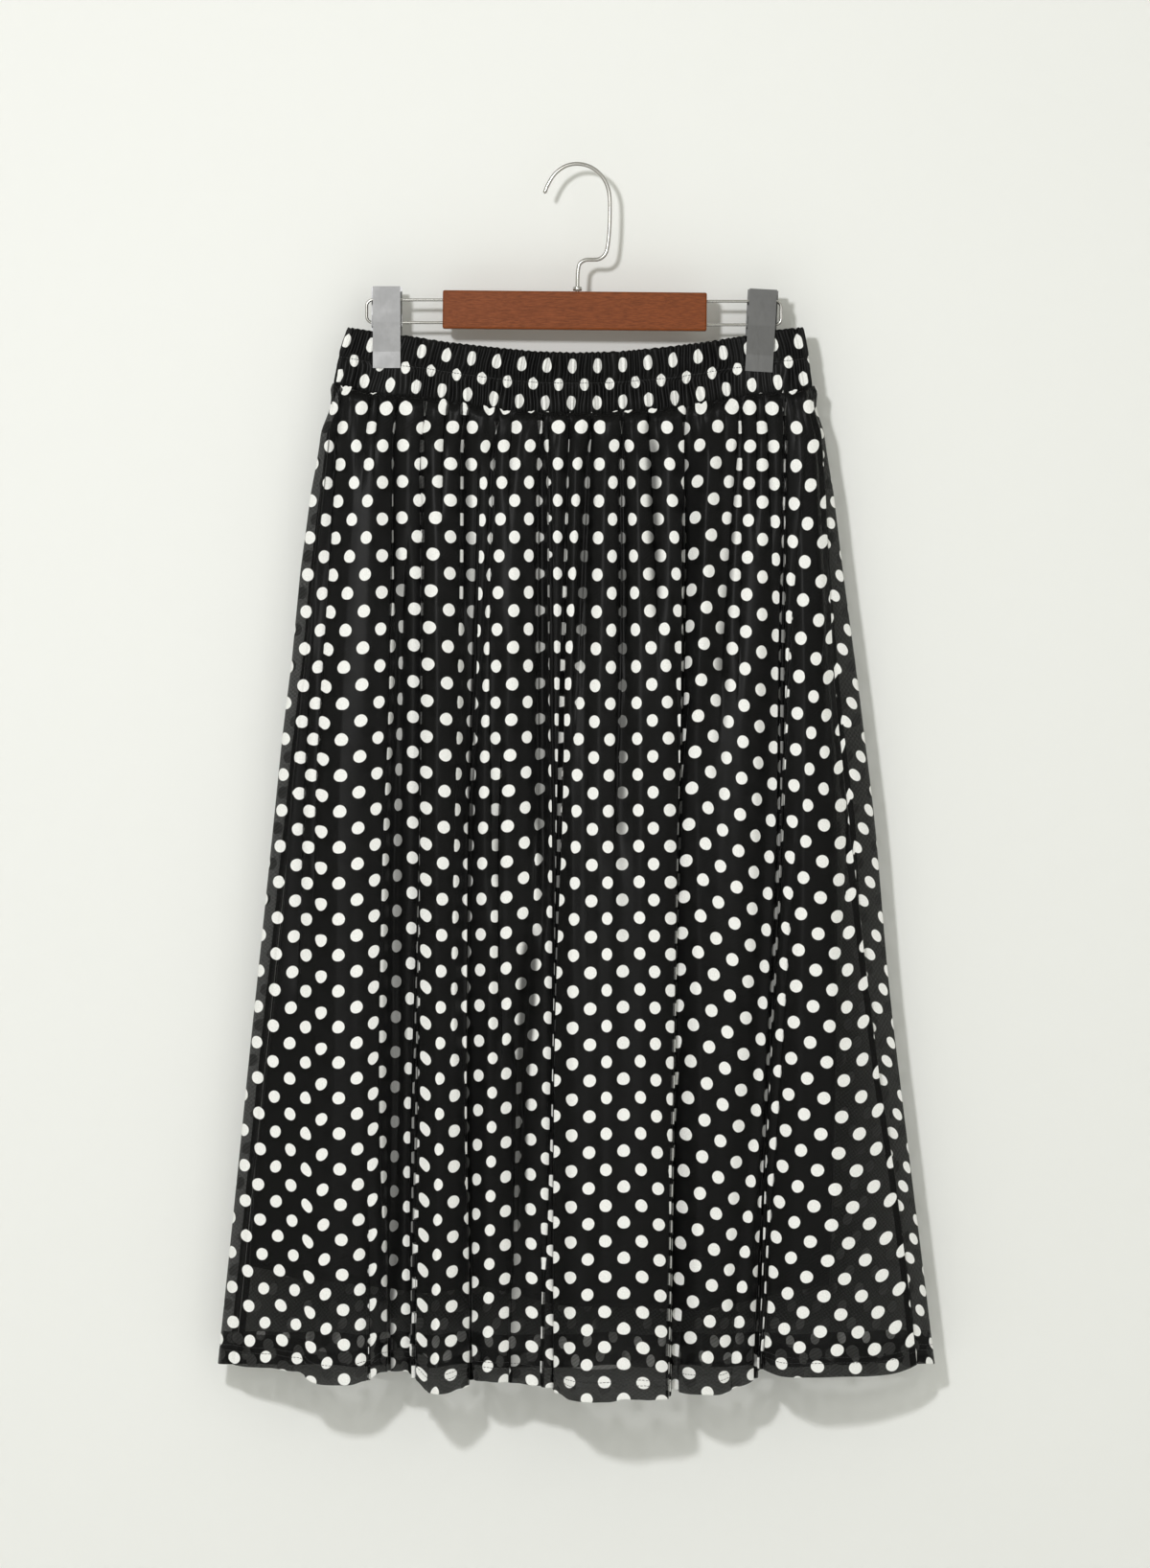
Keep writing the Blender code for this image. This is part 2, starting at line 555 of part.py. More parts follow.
def make_lining(front):
    """A plain panel inside the skirt, with soft waves, its side seams on its side folds."""
    share = np.array(LINING_LEVELS)
    column = 1 if front else 2
    sign = -1.0 if front else 1.0
    turn = np.linspace(0.0, 1.0, LINING_COLUMNS + 1)
    across = turn - np.sin(2 * math.pi * turn) * LINING_CROWDED
    levels = []
    for level in share:
        edge_x = np.interp(across, (0, 1), LINING_FOOT)
        if front:
            low = table(LINING_EDGE, 1, edge_x)
        else:
            rise = 1.0 - smooth((edge_x - LINING_LEFT_X) / LINING_RISE_WIDTH)
            low = LINING_BACK_Z + LINING_LEFT_RISE * rise
        top_x = np.interp(across, (0, 1), LINING_TOP)
        z = seam_z(top_x) + (low - seam_z(top_x)) * level
        left, right = table(LINING_SIDES, 1, z), table(LINING_SIDES, 2, z)
        x = left + (right - left) * across
        inside = np.minimum(x - left, right - x)
        full = table(LINING_DEPTH, column, z)
        for waves, phase, waist, lower in LINING_WAVES:
            depth = waist + (lower - waist) * level
            wave = np.sin(2 * math.pi * waves * across + phase)
            full = full + depth * wave * smooth(inside / LINING_WAVE_FADE)
        reach = np.clip(inside / LINING_TURN, 0.0, 1.0)
        full = np.minimum(full, LINING_SIDE + inside * LINING_SLOPE)
        y = sign * np.maximum(full, LINING_SIDE * LINING_LEAST) * np.sqrt(1.0 - (1.0 - reach) ** 2)
        y = y + sign * GAP / 2 * (reach <= 0)
        line = np.column_stack([x, y, z])
        levels.append(line[::-1] if front else line)
    ends = (*LINING_TOP, LINING_BAND_TURN, LINING_SIDE_INSET)
    levels = blend_to_band(levels, LINING_INSET, LINING_LEVELS, *ends)
    outer, inner = [], []
    for line in levels:
        line[0, 1], line[-1, 1] = sign * GAP / 2, sign * GAP / 2
        moved = inward_offset(line, LINING_WALL)
        moved[0, 1], moved[-1, 1] = line[0, 1], line[-1, 1]
        outer.append(line)
        inner.append(moved)
    name = "lining_front" if front else "lining_back"
    return shell(name, np.array(outer), np.array(inner), LINING_BLACK, 0.6)


def tube(name, path, radius, sides, colour, rough):
    """A round wire along a path in one plane of constant y, with flat ends."""
    path = np.array(path, float)
    along = np.gradient(path, axis=0)
    along /= np.linalg.norm(along, axis=1)[:, None]
    across = np.stack([along[:, 2], np.zeros(len(path)), -along[:, 0]], axis=1)
    turn = np.arange(sides) * 2 * math.pi / sides
    ring = np.cos(turn)[None, :, None] * across[:, None, :]
    ring = ring + np.sin(turn)[None, :, None] * np.array([0.0, 1.0, 0.0])
    points = (path[:, None, :] + radius * ring).reshape(-1, 3)
    faces = []
    for i in range(len(path) - 1):
        for j in range(sides):
            k = (j + 1) % sides
            faces.append((i * sides + j, i * sides + k, (i + 1) * sides + k, (i + 1) * sides + j))
    last = (len(path) - 1) * sides
    faces.append(tuple(range(sides))[::-1])
    faces.append(tuple(last + j for j in range(sides)))
    return add_mesh(name, points, faces, colour, rough, 1.0, 50)


def box(name, size, centre, colour, rough, metal):
    half = np.array(size) / 2
    corners = [(x, y, z) for x in (-1, 1) for y in (-1, 1) for z in (-1, 1)]
    points = np.array(corners) * half + np.array(centre)
    faces = [(0, 1, 3, 2), (4, 6, 7, 5), (0, 4, 5, 1), (2, 3, 7, 6), (0, 2, 6, 4), (1, 5, 7, 3)]
    return add_mesh(name, points, faces, colour, rough, metal, 30)


def cylinder(name, start, end, radius, sides):
    """A solid rod between two points, for a pin or a cutter."""
    start, end = np.array(start, float), np.array(end, float)
    along = (end - start) / np.linalg.norm(end - start)
    aside = np.cross(along, (0.0, 1.0, 0.0)) if abs(along[1]) < 0.9 else np.cross(along, (1.0, 0.0, 0.0))
    aside /= np.linalg.norm(aside)
    other = np.cross(along, aside)
    turn = np.arange(sides) * 2 * math.pi / sides
    ring = radius * (np.cos(turn)[:, None] * aside + np.sin(turn)[:, None] * other)
    points = np.concatenate([start + ring, end + ring])
    faces = [(i, (i + 1) % sides, sides + (i + 1) % sides, sides + i) for i in range(sides)]
    faces += [tuple(range(sides))[::-1], tuple(range(sides, 2 * sides))]
    return add_mesh(name, points, faces, STEEL, 0.3, 1.0, 50)


def cut(obj, cutter):
    cutter.hide_render = True
    cutter.display_type = "WIRE"
    modifier = obj.modifiers.new("cut", "BOOLEAN")
    modifier.operation = "DIFFERENCE"
    modifier.solver = "EXACT"
    modifier.object = cutter


def loop_path(end_x, upper, lower, inner_x):
    """The wire of one side loop, from the bar out, round its end and back."""
    out = math.copysign(1.0, end_x)
    centre_x = end_x - out * (WIRE_RADIUS + LOOP_CORNER)
    path = [(inner_x, 0.0, upper), ((inner_x + centre_x) / 2, 0.0, upper)]
    for turn in np.linspace(0.0, math.pi / 2, 6):
        x = centre_x + out * LOOP_CORNER * math.sin(turn)
        path.append((x, 0.0, upper - LOOP_CORNER * (1 - math.cos(turn))))
    for turn in np.linspace(math.pi / 2, 0.0, 6):
        x = centre_x + out * LOOP_CORNER * math.sin(turn)
        path.append((x, 0.0, lower + LOOP_CORNER * (1 - math.cos(turn))))
    path += [((inner_x + centre_x) / 2, 0.0, lower), (inner_x, 0.0, lower)]
    return path


def hook_line():
    points = np.array([(x, 0.0, z) for x, z in HOOK_PATH])
    return through(points, [2] * (len(points) - 1))


def make_hanger():
    bar = box("hanger_bar", BAR_SIZE, (0, 0, 0), WOOD_BROWN, 0.5, 0.0)
    bar.location = np.array(BAR_CENTRE) * MM
    bar.rotation_euler = (0.0, BAR_TILT, 0.0)
    edge = bar.modifiers.new("edges", "BEVEL")
    edge.width = BAR_EDGE * MM
    edge.segments = 3
    top = BAR_CENTRE[2] + BAR_SIZE[2] / 2
    cut(bar, cylinder("shank_hole", (SHANK_X, 0, top + 4), (SHANK_X, 0, top - HOLE_DEPTH), SHANK_HOLE, 16))
    for side, end_x, upper, lower in LOOPS:
        out = math.copysign(1.0, end_x)
        bar_end = BAR_CENTRE[0] + out * BAR_SIZE[0] / 2
        inner_x = bar_end - out * WIRE_IN_BAR
        for level, z in (("upper", upper), ("lower", lower)):
            start, end = (bar_end + out * 5, 0, z), (bar_end - out * HOLE_DEPTH, 0, z)
            cut(bar, cylinder(f"{side}_{level}_hole", start, end, WIRE_HOLE, 12))
        tube(f"hanger_loop_{side}", loop_path(end_x, upper, lower, inner_x), WIRE_RADIUS, 8, STEEL, 0.25)
    tube("hanger_hook", hook_line(), HOOK_RADIUS, 10, STEEL, 0.25)
    high, low = COLLAR_Z
    collar = cylinder("hanger_collar", (SHANK_X, 0, high), (SHANK_X, 0, low), COLLAR_RADIUS, 24)
    cut(collar, cylinder("collar_hole", (SHANK_X, 0, high + 3), (SHANK_X, 0, low - 3), COLLAR_HOLE, 16))


def jaw_profile(height, sign):
    """The side view of a jaw's sheet: y and drop from its top, round its closed outline."""
    drop = [share * height for share, y in JAW]
    inner = [(sign * y, -d) for (share, y), d in zip(JAW, drop)]
    outer = [(sign * (y + CLIP_SHEET), -d) for (share, y), d in zip(JAW, drop)]
    return inner + outer[::-1]


def make_jaw(name, middle, top, height, tilt, pivot_drop, front):
    """One jaw: a long plate with an ear at each side that reaches round the wire it turns on."""
    sign = -1.0 if front else 1.0
    profile = jaw_profile(height, sign)
    ear_x = CLIP_HALF_WIDTH - CLIP_SHEET if front else CLIP_HALF_WIDTH + JAW_PLAY
    half = ear_x + CLIP_SHEET
    points = [(x, y, z) for x in (-half, half) for y, z in profile]
    count = len(profile)
    faces = [tuple(range(count)), tuple(range(count, 2 * count))[::-1]]
    faces += [(i, i + count, (i + 1) % count + count, (i + 1) % count) for i in range(count)]
    plate = add_mesh(name, points, faces, CLIP_STEEL, 0.35, 1.0, 30)
    low, high = pivot_drop - EAR_BELOW, pivot_drop + EAR_ABOVE
    for end, x in (("a", -ear_x - CLIP_SHEET / 2), ("b", ear_x + CLIP_SHEET / 2)):
        size = (CLIP_SHEET, EAR_ROOT + EAR_REACH, high - low)
        centre = (x, sign * (EAR_ROOT - EAR_REACH) / 2, (low + high) / 2)
        ear = box(f"{name}_ear_{end}", size, centre, CLIP_STEEL, 0.35, 1.0)
        ear.hide_render = True
        ear.display_type = "WIRE"
        join = plate.modifiers.new("ear", "BOOLEAN")
        join.operation = "UNION"
        join.solver = "EXACT"
        join.object = ear
        place_clip(ear, middle, top, tilt)
    ends = (-CUTTER_REACH, 0, pivot_drop), (CUTTER_REACH, 0, pivot_drop)
    hole = cylinder(f"{name}_hole", *ends, EAR_HOLE, 12)
    place_clip(hole, middle, top, tilt)
    cut(plate, hole)
    place_clip(plate, middle, top, tilt)


def place_clip(obj, middle, top, tilt):
    obj.location = (middle * MM, 0.0, top * MM)
    obj.rotation_euler = (0.0, tilt, 0.0)


def make_clips():
    for side, middle, top, height, tilt, pivot in CLIPS:
        drop = pivot - top
        make_jaw(f"clip_front_{side}", middle, top, height, tilt, drop, True)
        make_jaw(f"clip_back_{side}", middle, top, height, tilt, drop, False)
        ends = (-SPRING_HALF, 0, drop), (SPRING_HALF, 0, drop)
        spring = cylinder(f"clip_spring_{side}", *ends, SPRING_RADIUS, 16)
        ends = (-CUTTER_REACH, 0, drop), (CUTTER_REACH, 0, drop)
        hole = cylinder(f"spring_hole_{side}", *ends, SPRING_HOLE, 12)
        place_clip(spring, middle, top, tilt)
        place_clip(hole, middle, top, tilt)
        cut(spring, hole)


def main():
    for obj in list(bpy.data.objects):
        bpy.data.objects.remove(obj, do_unlink=True)
    make_waistband()
    make_skirt()
    make_lining(True)
    make_lining(False)
    make_hanger()
    make_clips()


main()
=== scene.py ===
"""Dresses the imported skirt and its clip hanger: ruched band, dotted panels, lining, hem, wood and steel.

Sizes in the tables are millimetres and are turned into metres when a mesh is made.
"""

import math

import bpy
import numpy as np
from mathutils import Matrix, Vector


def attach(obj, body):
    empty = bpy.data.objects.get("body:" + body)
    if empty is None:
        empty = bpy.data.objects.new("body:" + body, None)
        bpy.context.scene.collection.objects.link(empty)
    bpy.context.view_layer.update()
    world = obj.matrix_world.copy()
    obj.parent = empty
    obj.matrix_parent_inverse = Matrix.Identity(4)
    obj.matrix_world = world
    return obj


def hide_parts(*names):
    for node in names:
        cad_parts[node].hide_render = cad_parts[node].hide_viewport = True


bl_info = {
    "name": "Gathered Skirt on a Clip Hanger",
    "version": (1, 0, 0),
    "blender": (4, 5, 0),
    "location": "3D View > Sidebar > Skirt",
    "description": "Builds a dotted mesh skirt with a ruched waistband on its clip hanger",
    "category": "Add Mesh",
}

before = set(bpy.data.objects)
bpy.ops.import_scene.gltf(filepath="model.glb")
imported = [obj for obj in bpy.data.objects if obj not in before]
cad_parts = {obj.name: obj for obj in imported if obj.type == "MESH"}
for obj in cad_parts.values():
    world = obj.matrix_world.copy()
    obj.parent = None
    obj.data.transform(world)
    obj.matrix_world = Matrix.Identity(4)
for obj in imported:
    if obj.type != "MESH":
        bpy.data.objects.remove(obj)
MM = 0.001
ROOT = "root"

# The band: x, z of its top edge, then of the seam under it
BAND_TOP = ((-181, -126.5), (-160, -129.5), (-133, -133), (-103, -138), (-68, -142), (-33, -145.5),
            (0, -146.5), (34, -145.5), (70, -142), (101, -138), (132, -133), (156, -128.5), (178, -126.5))
BAND_SEAM = ((-191, -172), (-176, -175.5), (-158, -180), (-118, -182.5), (-89, -187.5), (-56, -193),
             (-22, -195), (20, -195), (79, -191), (104, -186), (142, -180), (171, -177.6), (185, -174))
# share of the band's height, left side x, right side x
BAND_SIDES = ((0.0, -180.5, 178.0), (0.44, -186.8, 181.9), (0.74, -188.4, 183.2), (1.0, -190.8, 185.0))
# x, half depth of the band: it is pinched flat in each clip
BAND_DEPTH = ((-191, 6.0), (-172, 5.6), (-161, 4.4), (-137, 4.4), (-120, 5.8), (-80, 8.2), (0, 9.6),
              (75, 8.6), (115, 5.8), (130, 4.4), (158, 4.4), (169, 5.6), (185, 6.0))
BAND_REACH = (-191.0, 185.0)
PINCHED, FREE = 4.4, 5.4
SEAM_GAP = 0.45
GAP = 0.3
BAND_HEIGHT = 50.0
BAND_GATHERS = 142
# Distance down the band, then down its print
BAND_PRINT = ((0, 5.4), (12, 14), (26, 28), (40, 42), (50, 49))
# How far down the print the band's row of stitches lies
BAND_STITCHES = 27.0
# The band's rows: share of its height where each stretch starts and ends, rows in it
BAND_ROWS = ((0.0, 0.06, 6), (0.06, 0.42, 13), (0.42, 0.58, 11), (0.58, 0.93, 12), (0.93, 1.0, 6))
# Outside of the band from its top edge down: share of its height, inset, how deep its gathers are
BAND_OUTSIDE = ((0.0, 1.3, 0.45), (0.015, 0.75, 0.6), (0.05, 0.25, 0.85), (0.20, 0.0, 1.0), (0.40, 0.0, 1.0),
                (0.47, 0.45, 0.75), (0.50, 1.0, 0.55), (0.53, 0.45, 0.75), (0.62, 0.0, 1.0), (0.86, 0.0, 1.0),
                (0.96, 0.35, 0.85), (1.0, 0.9, 0.7))
# Inside of the band from its seam up: share of its height, inset
BAND_INSIDE = ((1.0, 2.0), (0.985, 3.1), (0.90, 3.7), (0.50, 3.8), (0.08, 3.7), (0.01, 3.0), (0.0, 2.2))

# Skirt: z, left outline x, right outline x, x of the right side seam that has turned to the front
OUTLINE = (
    (-172, -192.0, 186.0, 184.5),
    (-185, -197.3, 189.5, 188.0),
    (-207, -201.0, 193.0, 190.5),
    (-255, -209.3, 201.0, 193.8),
    (-317, -216.8, 208.0, 197.2),
    (-386, -222.8, 216.3, 201.5),
    (-447, -230.3, 223.3, 207.2),
    (-520, -237.8, 232.5, 214.8),
    (-628, -249.0, 244.5, 226.1),
    (-712, -258.0, 254.3, 236.0),
    (-794, -266.3, 263.5, 248.6),
    (-868, -273.6, 272.3, 257.8),
    (-936, -280.5, 280.4, 265.3),
)
HEM_Z = -935.0
SIDE_TOP = -172.5
# Share of the way in to the band at which the panels' top edges hang
TOP_DRAWN_IN = 0.955
# Heights of the folds' three values
FOLD_Z = (-200.0, -410.0, -950.0)
# z, depth of the front's valleys, of the back's valleys, and of the side folds
VALLEYS = ((-172, 9.5, 7.0, 4.6), (-200, 10.5, 8.0, 4.8), (-410, 14.0, 9.0, 5.0), (-700, 18.5, 10.0, 5.2),
           (-965, 22.0, 11.0, 5.4))
# How far in from the sides the front and back reach those depths
SIDE_TAPER = 60.0
# Heights at which the front's cloth is placed on its folds
CLOTH_Z = (-200.0, -410.0, -680.0, -935.0)
# Folds of the front from left to right: name, x at three heights, depth before the valleys at three heights,
# drop of the hem, how far along the cloth it lies at four heights, how far the print sinks at the lower three
FRONT_FOLDS = (
    ("left_strip", -193.5, -214.0, -271.5, 1, 3, 3, 1, -378, -392, -411, -450, -1, 0, 3),
    ("strip_foot", -190.0, -207.0, -234.0, 1, 4, 6, 4, -371, -383, -390, -413, -1, 0, 4),
    ("strip_step", -185.0, -200.0, -217.5, 4, 9, 14, 7, -364, -369, -373, -388, -1, -1, 2),
    ("left_crest", -172.5, -184.0, -193.0, 6, 13, 24, 17, -351, -351, -352, -361, -1, -1, 0),
    ("left_shoulder", -157.0, -160.5, -166.5, 5, 12, 22, 13, -331, -331, -329, -335, 0, 1, 3),
    ("b_wall", -148.0, -148.5, -153.0, 2, 6, 10, 6, -316, -310, -307, -316, 1, 5, 8),
    ("b_valley", -142.0, -142.5, -145.0, 0, 0, 0, 5, -304, -299, -296, -298, 3, 7, 12),
    ("b_floor", -133.5, -132.0, -133.0, 2, 2, 3, 7, -290, -285, -281, -279, 3, 8, 16),
    ("c_under", -127.0, -124.0, -123.0, 2, 4, 6, 9, -274, -267, -267, -261, 2, 6, 11),
    ("c_edge", -123.0, -126.0, -127.0, 5, 11, 17, 13, -258, -248, -253, -242, 2, 4, 7),
    ("c_crest", -109.5, -108.0, -109.0, 8, 20, 30, 24, -242, -231, -227, -222, 2, 1, 4),
    ("c_shoulder", -96.0, -94.5, -93.0, 5, 14, 20, 20, -222, -215, -207, -205, 2, 3, 5),
    ("d_valley", -88.5, -86.0, -85.0, 0, 2, 3, 13, -207, -201, -186, -189, 2, 3, 7),
    ("d_wall", -79.5, -76.5, -75.0, 4, 6, 7, 12, -191, -178, -167, -172, 0, 3, 9),
    ("d_crest", -67.5, -68.0, -67.0, 7, 12, 14, 13, -172, -162, -156, -155, 0, 2, 11),
    ("d_face", -48.0, -54.0, -55.5, 5, 10, 10, 15, -140, -143, -140, -138, 0, 3, 13),
    ("f_valley", -28.0, -33.0, -42.0, 0, 3, 2, 16, -114, -120, -117, -121, 0, 7, 15),
    ("f_face", -16.5, -22.0, -26.0, 5, 8, 10, 18, -88, -99, -100, -97, 2, 7, 9),
    ("e_under", -7.5, -10.5, -10.0, 3, 6, 8, 20, -76, -77, -73, -65, 0, -1, 2),
    ("e_edge", -4.0, -13.0, -13.5, 4, 11, 18, 24, -67, -62, -52, -49, 0, -1, 0),
    ("e_face", 1.5, -2.0, -1.5, 6, 17, 28, 29, -57, -50, -41, -38, -1, -2, -2),
    ("g_valley", 10.5, 4.0, 7.5, 1, 14, 30, 30, -40, -38, -32, -29, -1, -1, -2),
    ("g_crest", 22.5, 16.5, 18.0, 7, 19, 33, 29, -22, -24, -19, -17, -1, 0, -1),
    ("h_valley", 35.0, 35.0, 36.0, 0, 15, 33, 26, 0, -1, -1, -1, -1, 1, 0),
    ("h_crest", 46.5, 49.5, 51.0, 6, 19, 32, 27, 22, 17, 15, 13, 0, 1, -2),
    ("j_valley", 58.0, 61.5, 61.5, 2, 16, 30, 28, 40, 31, 28, 22, 0, 0, -3),
    ("i_face", 75.0, 71.0, 67.5, 7, 17, 27, 28, 59, 43, 37, 35, 1, 0, -4),
    ("i_edge", 88.0, 79.0, 75.0, 5, 12, 18, 26, 71, 55, 55, 65, 2, 0, -5),
    ("i_under", 90.0, 73.5, 68.0, 1, 4, 5, 20, 83, 74, 85, 96, 2, 0, -5),
    ("i_floor", 95.0, 82.0, 78.0, 2, 4, 7, 20, 95, 93, 114, 126, 3, 0, -5),
    ("k_crest", 103.5, 94.5, 97.5, 6, 13, 21, 24, 106, 110, 131, 148, 2, -3, -10),
    ("k_valley", 116.0, 108.0, 108.0, 1, 10, 17, 24, 120, 125, 146, 160, 0, -4, -11),
    ("l_crest", 131.0, 132.0, 117.0, 5, 13, 14, 21, 145, 155, 160, 171, -2, -5, -11),
    ("l_face", 145.5, 142.5, 122.0, 5, 11, 7, 18, 169, 166, 170, 181, -2, -6, -10),
    ("m_wall", 154.5, 151.0, 127.5, 2, 5, 2, 13, 183, 175, 178, 198, -3, -6, -10),
    ("m_valley", 159.0, 157.0, 137.0, 0, 0, 0, 5, 194, 186, 193, 217, -3, -6, -11),
    ("m_under", 163.0, 164.0, 150.0, 1, 3, 4, 4, 204, 204, 214, 235, -5, -7, -12),
    ("m_edge", 165.0, 163.0, 148.0, 4, 9, 13, 6, 214, 223, 234, 254, -6, -7, -12),
    ("right_crest", 173.0, 177.0, 165.0, 6, 14, 21, 11, 225, 244, 258, 275, -9, -12, -16),
    ("right_face", 180.0, 195.0, 202.5, 4, 11, 17, 10, 235, 263, 281, 309, -11, -15, -19),
)
# z, distance down the cloth, from a row of dots
CLOTH_DOWN = ((-172, -256), (-200, -229), (-290, -141), (-410, -24), (-545, 111), (-680, 246), (-815, 382),
              (-935, 505), (-965, 536))
# How the front hangs. Columns of dots lie one lane apart along the cloth, the first at LANE_START.
# For each column: x at five heights, then how many tenths of a dot show there
LANE = 14.0
LANE_START = -462.0
LANE_Z = (-207.8, -380.3, -560.3, -740.3, -920.3)
LANES = (
    (-272.7, -278.5, -281, -284.1, -284.1, 10, 10, 10, 10, 10),
    (-259.7, -265.5, -268, -271.1, -271.1, 10, 10, 10, 10, 10),
    (-246.7, -252.5, -255, -258.1, -258.1, 10, 10, 10, 10, 10),
    (-233.7, -239.5, -242, -248.9, -244.7, 10, 10, 10, 10, 10),
    (-220.7, -226.5, -232.8, -236.4, -230.7, 10, 10, 10, 10, 10),
    (-207.7, -213.5, -219.5, -224.6, -219.7, 10, 10, 10, 10, 10),
    (-194.7, -202.3, -210.3, -212.3, -208.5, 10, 10, 10, 10, 10),
    (-184.6, -194.6, -199.7, -199.9, -195.9, 8, 8, 10, 10, 10),
    (-172, -181.2, -185.6, -185.6, -181, 10, 10, 10, 10, 10),
    (-161.9, -167.1, -171.3, -171.1, -167.9, 6, 10, 10, 10, 8),
    (-151.6, -153.7, -158, -159.5, -160.4, 9, 9, 8, 6, 4),
    (-143.7, -145.5, -150.1, -152.5, -147.2, 0, 0, 4, 3, 0),
    (-135.7, -137.3, -141.1, -142.5, -146.8, 7, 2, 6, 4, 0),
    (-122.1, -127.7, -128.8, -131.7, -133.5, 0, 8, 10, 10, 9),
    (-121, -121.7, -123.7, -128.3, -128.2, 0, 0, 0, 0, 0),
    (-119.9, -121.2, -123.2, -124.9, -127.8, 0, 0, 0, 2, 0),
    (-106.3, -115.2, -118.1, -119.5, -122.5, 3, 10, 8, 7, 6),
    (-98.2, -100.9, -104.6, -107.2, -111.3, 10, 10, 10, 10, 10),
    (-89.7, -90.9, -94.6, -95.7, -97.3, 3, 3, 3, 4, 8),
    (-82.5, -82.1, -84.8, -86.8, -83.8, 8, 7, 0, 0, 0),
    (-70.9, -78.3, -84.4, -86.5, -83.4, 7, 4, 0, 0, 0),
    (-64.3, -70.2, -74.6, -77.6, -83, 0, 4, 9, 7, 0),
    (-57.7, -62.5, -63.6, -66.2, -69.6, 9, 9, 4, 10, 8),
    (-48.1, -49.9, -54.9, -54.6, -56, 7, 8, 9, 6, 0),
    (-36.9, -37.7, -41.4, -45.3, -48.8, 10, 8, 8, 5, 0),
    (-30, -29.7, -30.5, -36.1, -35.2, 0, 0, 4, 10, 8),
    (-23.2, -21.8, -20.5, -23.3, -26.9, 2, 4, 7, 7, 0),
    (-15.3, -15.6, -15.6, -18.4, -19.6, 10, 9, 7, 6, 9),
    (-6.4, -11.1, -15, -17.9, -19.1, 0, 0, 0, 0, 0),
    (2.5, -6.1, -14.5, -17.4, -18.6, 10, 8, 7, 6, 9),
    (10.3, 3.2, -2.1, -4.2, -6.5, 0, 3, 9, 10, 10),
    (18.1, 13.9, 10.9, 9.5, 7.9, 5, 10, 10, 10, 10),
    (29.3, 27.7, 24.2, 22.7, 21.2, 9, 9, 8, 10, 10),
    (34.8, 35.1, 35.2, 36.6, 36.3, 0, 2, 9, 10, 10),
    (40.3, 45.2, 48.6, 49.7, 51.1, 10, 9, 9, 8, 10),
    (51.7, 58, 59.6, 62, 65.4, 8, 9, 8, 10, 10),
    (59.7, 69.1, 72.8, 73.5, 70.7, 6, 9, 9, 4, 0),
    (70.9, 80.5, 78, 74.6, 71.1, 9, 5, 0, 0, 0),
    (83.7, 83.4, 78.4, 75, 71.5, 0, 0, 0, 0, 0),
    (84.1, 83.8, 78.8, 75.4, 71.9, 0, 0, 0, 0, 0),
    (96.9, 86.7, 79.2, 75.8, 72.3, 9, 6, 0, 0, 0),
    (110, 98.7, 84.4, 76.9, 72.7, 8, 10, 9, 2, 0),
    (120.9, 111, 98.4, 86, 78, 7, 5, 10, 10, 4),
    (127.8, 121.1, 111, 99.9, 87.9, 3, 10, 9, 10, 10),
    (135.4, 131.5, 124.8, 113, 102.8, 7, 9, 10, 10, 10),
    (144.5, 144.5, 138.1, 126.9, 115.6, 5, 10, 10, 10, 8),
    (153.8, 156.2, 150, 140.4, 125, 6, 4, 7, 7, 6),
    (162.9, 160.2, 157.3, 147.7, 138.6, 0, 0, 0, 0, 0),
    (163.3, 160.5, 157.8, 148.1, 140.6, 0, 0, 0, 0, 0),
    (172.4, 164.5, 158.2, 148.5, 142.6, 10, 4, 0, 0, 0),
    (184.3, 174.1, 165.5, 155.8, 144.5, 7, 10, 5, 3, 0),
    (197.3, 187.8, 175.9, 163.8, 146.5, 10, 9, 10, 8, 0),
    (210.3, 198.7, 191, 176.9, 160.1, 10, 10, 10, 10, 7),
    (223.3, 211.7, 204.9, 191.4, 173.2, 10, 10, 10, 10, 10),
    (236.3, 224.7, 213.9, 206.4, 188.8, 10, 10, 10, 10, 10),
    (249.3, 237.7, 226.9, 221.3, 203.3, 10, 10, 10, 10, 10),
    (262.3, 250.7, 239.9, 234.3, 218.8, 10, 10, 10, 10, 10),
    (275.3, 263.7, 252.9, 247.3, 232.1, 10, 10, 10, 10, 10),
    (288.3, 276.7, 265.9, 260.3, 247.3, 10, 10, 10, 10, 10),
    (301.3, 289.7, 278.9, 273.3, 260.3, 10, 10, 10, 10, 10),
    (314.3, 302.7, 291.9, 286.3, 273.3, 10, 10, 10, 10, 10),
)
# Dark gaps between faces: distance along the cloth, z of the upper end, of the lower end, width
GAPS = (
    (-301, -330, -920, 4.0), (-200, -330, -720, 4.0), (-175, -190, -920, 3.0), (-105, -190, -620, 5.0),
    (-49, -190, -920, 3.0), (2, -190, -920, 2.5), (76, -260, -940, 4.5), (119, -190, -720, 4.0),
    (202, -190, -920, 6.0),
)
# How gaps and recesses fade below their upper end and above their lower end
GAP_FADE = (40.0, 60.0)
RECESS_FADE = (60.0, 60.0)
# Reach of a gap along the cloth; the raised edge beside it: share of the gap's width, place, reach
GAP_REACH = 9.0
RAISED_EDGE = (0.8, -13.0, 8.0)
# Slope of a crease's walls seen from the front, how steeply they go down and come up, greatest depth
CREASE_SLOPE = 0.03
CREASE_DOWN = 0.9
CREASE_UP = 3.0
CREASE_DEEPEST = 7.0
# How far a face between creases rounds out: share of its width, and the most
FACE_ROUND = (0.24, 4.2)
# Narrow faces that lie lower: distance along the cloth, half width, z of upper end, of lower end, depth
RECESSES = (
    (-294, 8, -300, -900, 6.0), (-154, 8, -340, -600, 4.0), (-110, 8, -190, -560, 5.0),
)
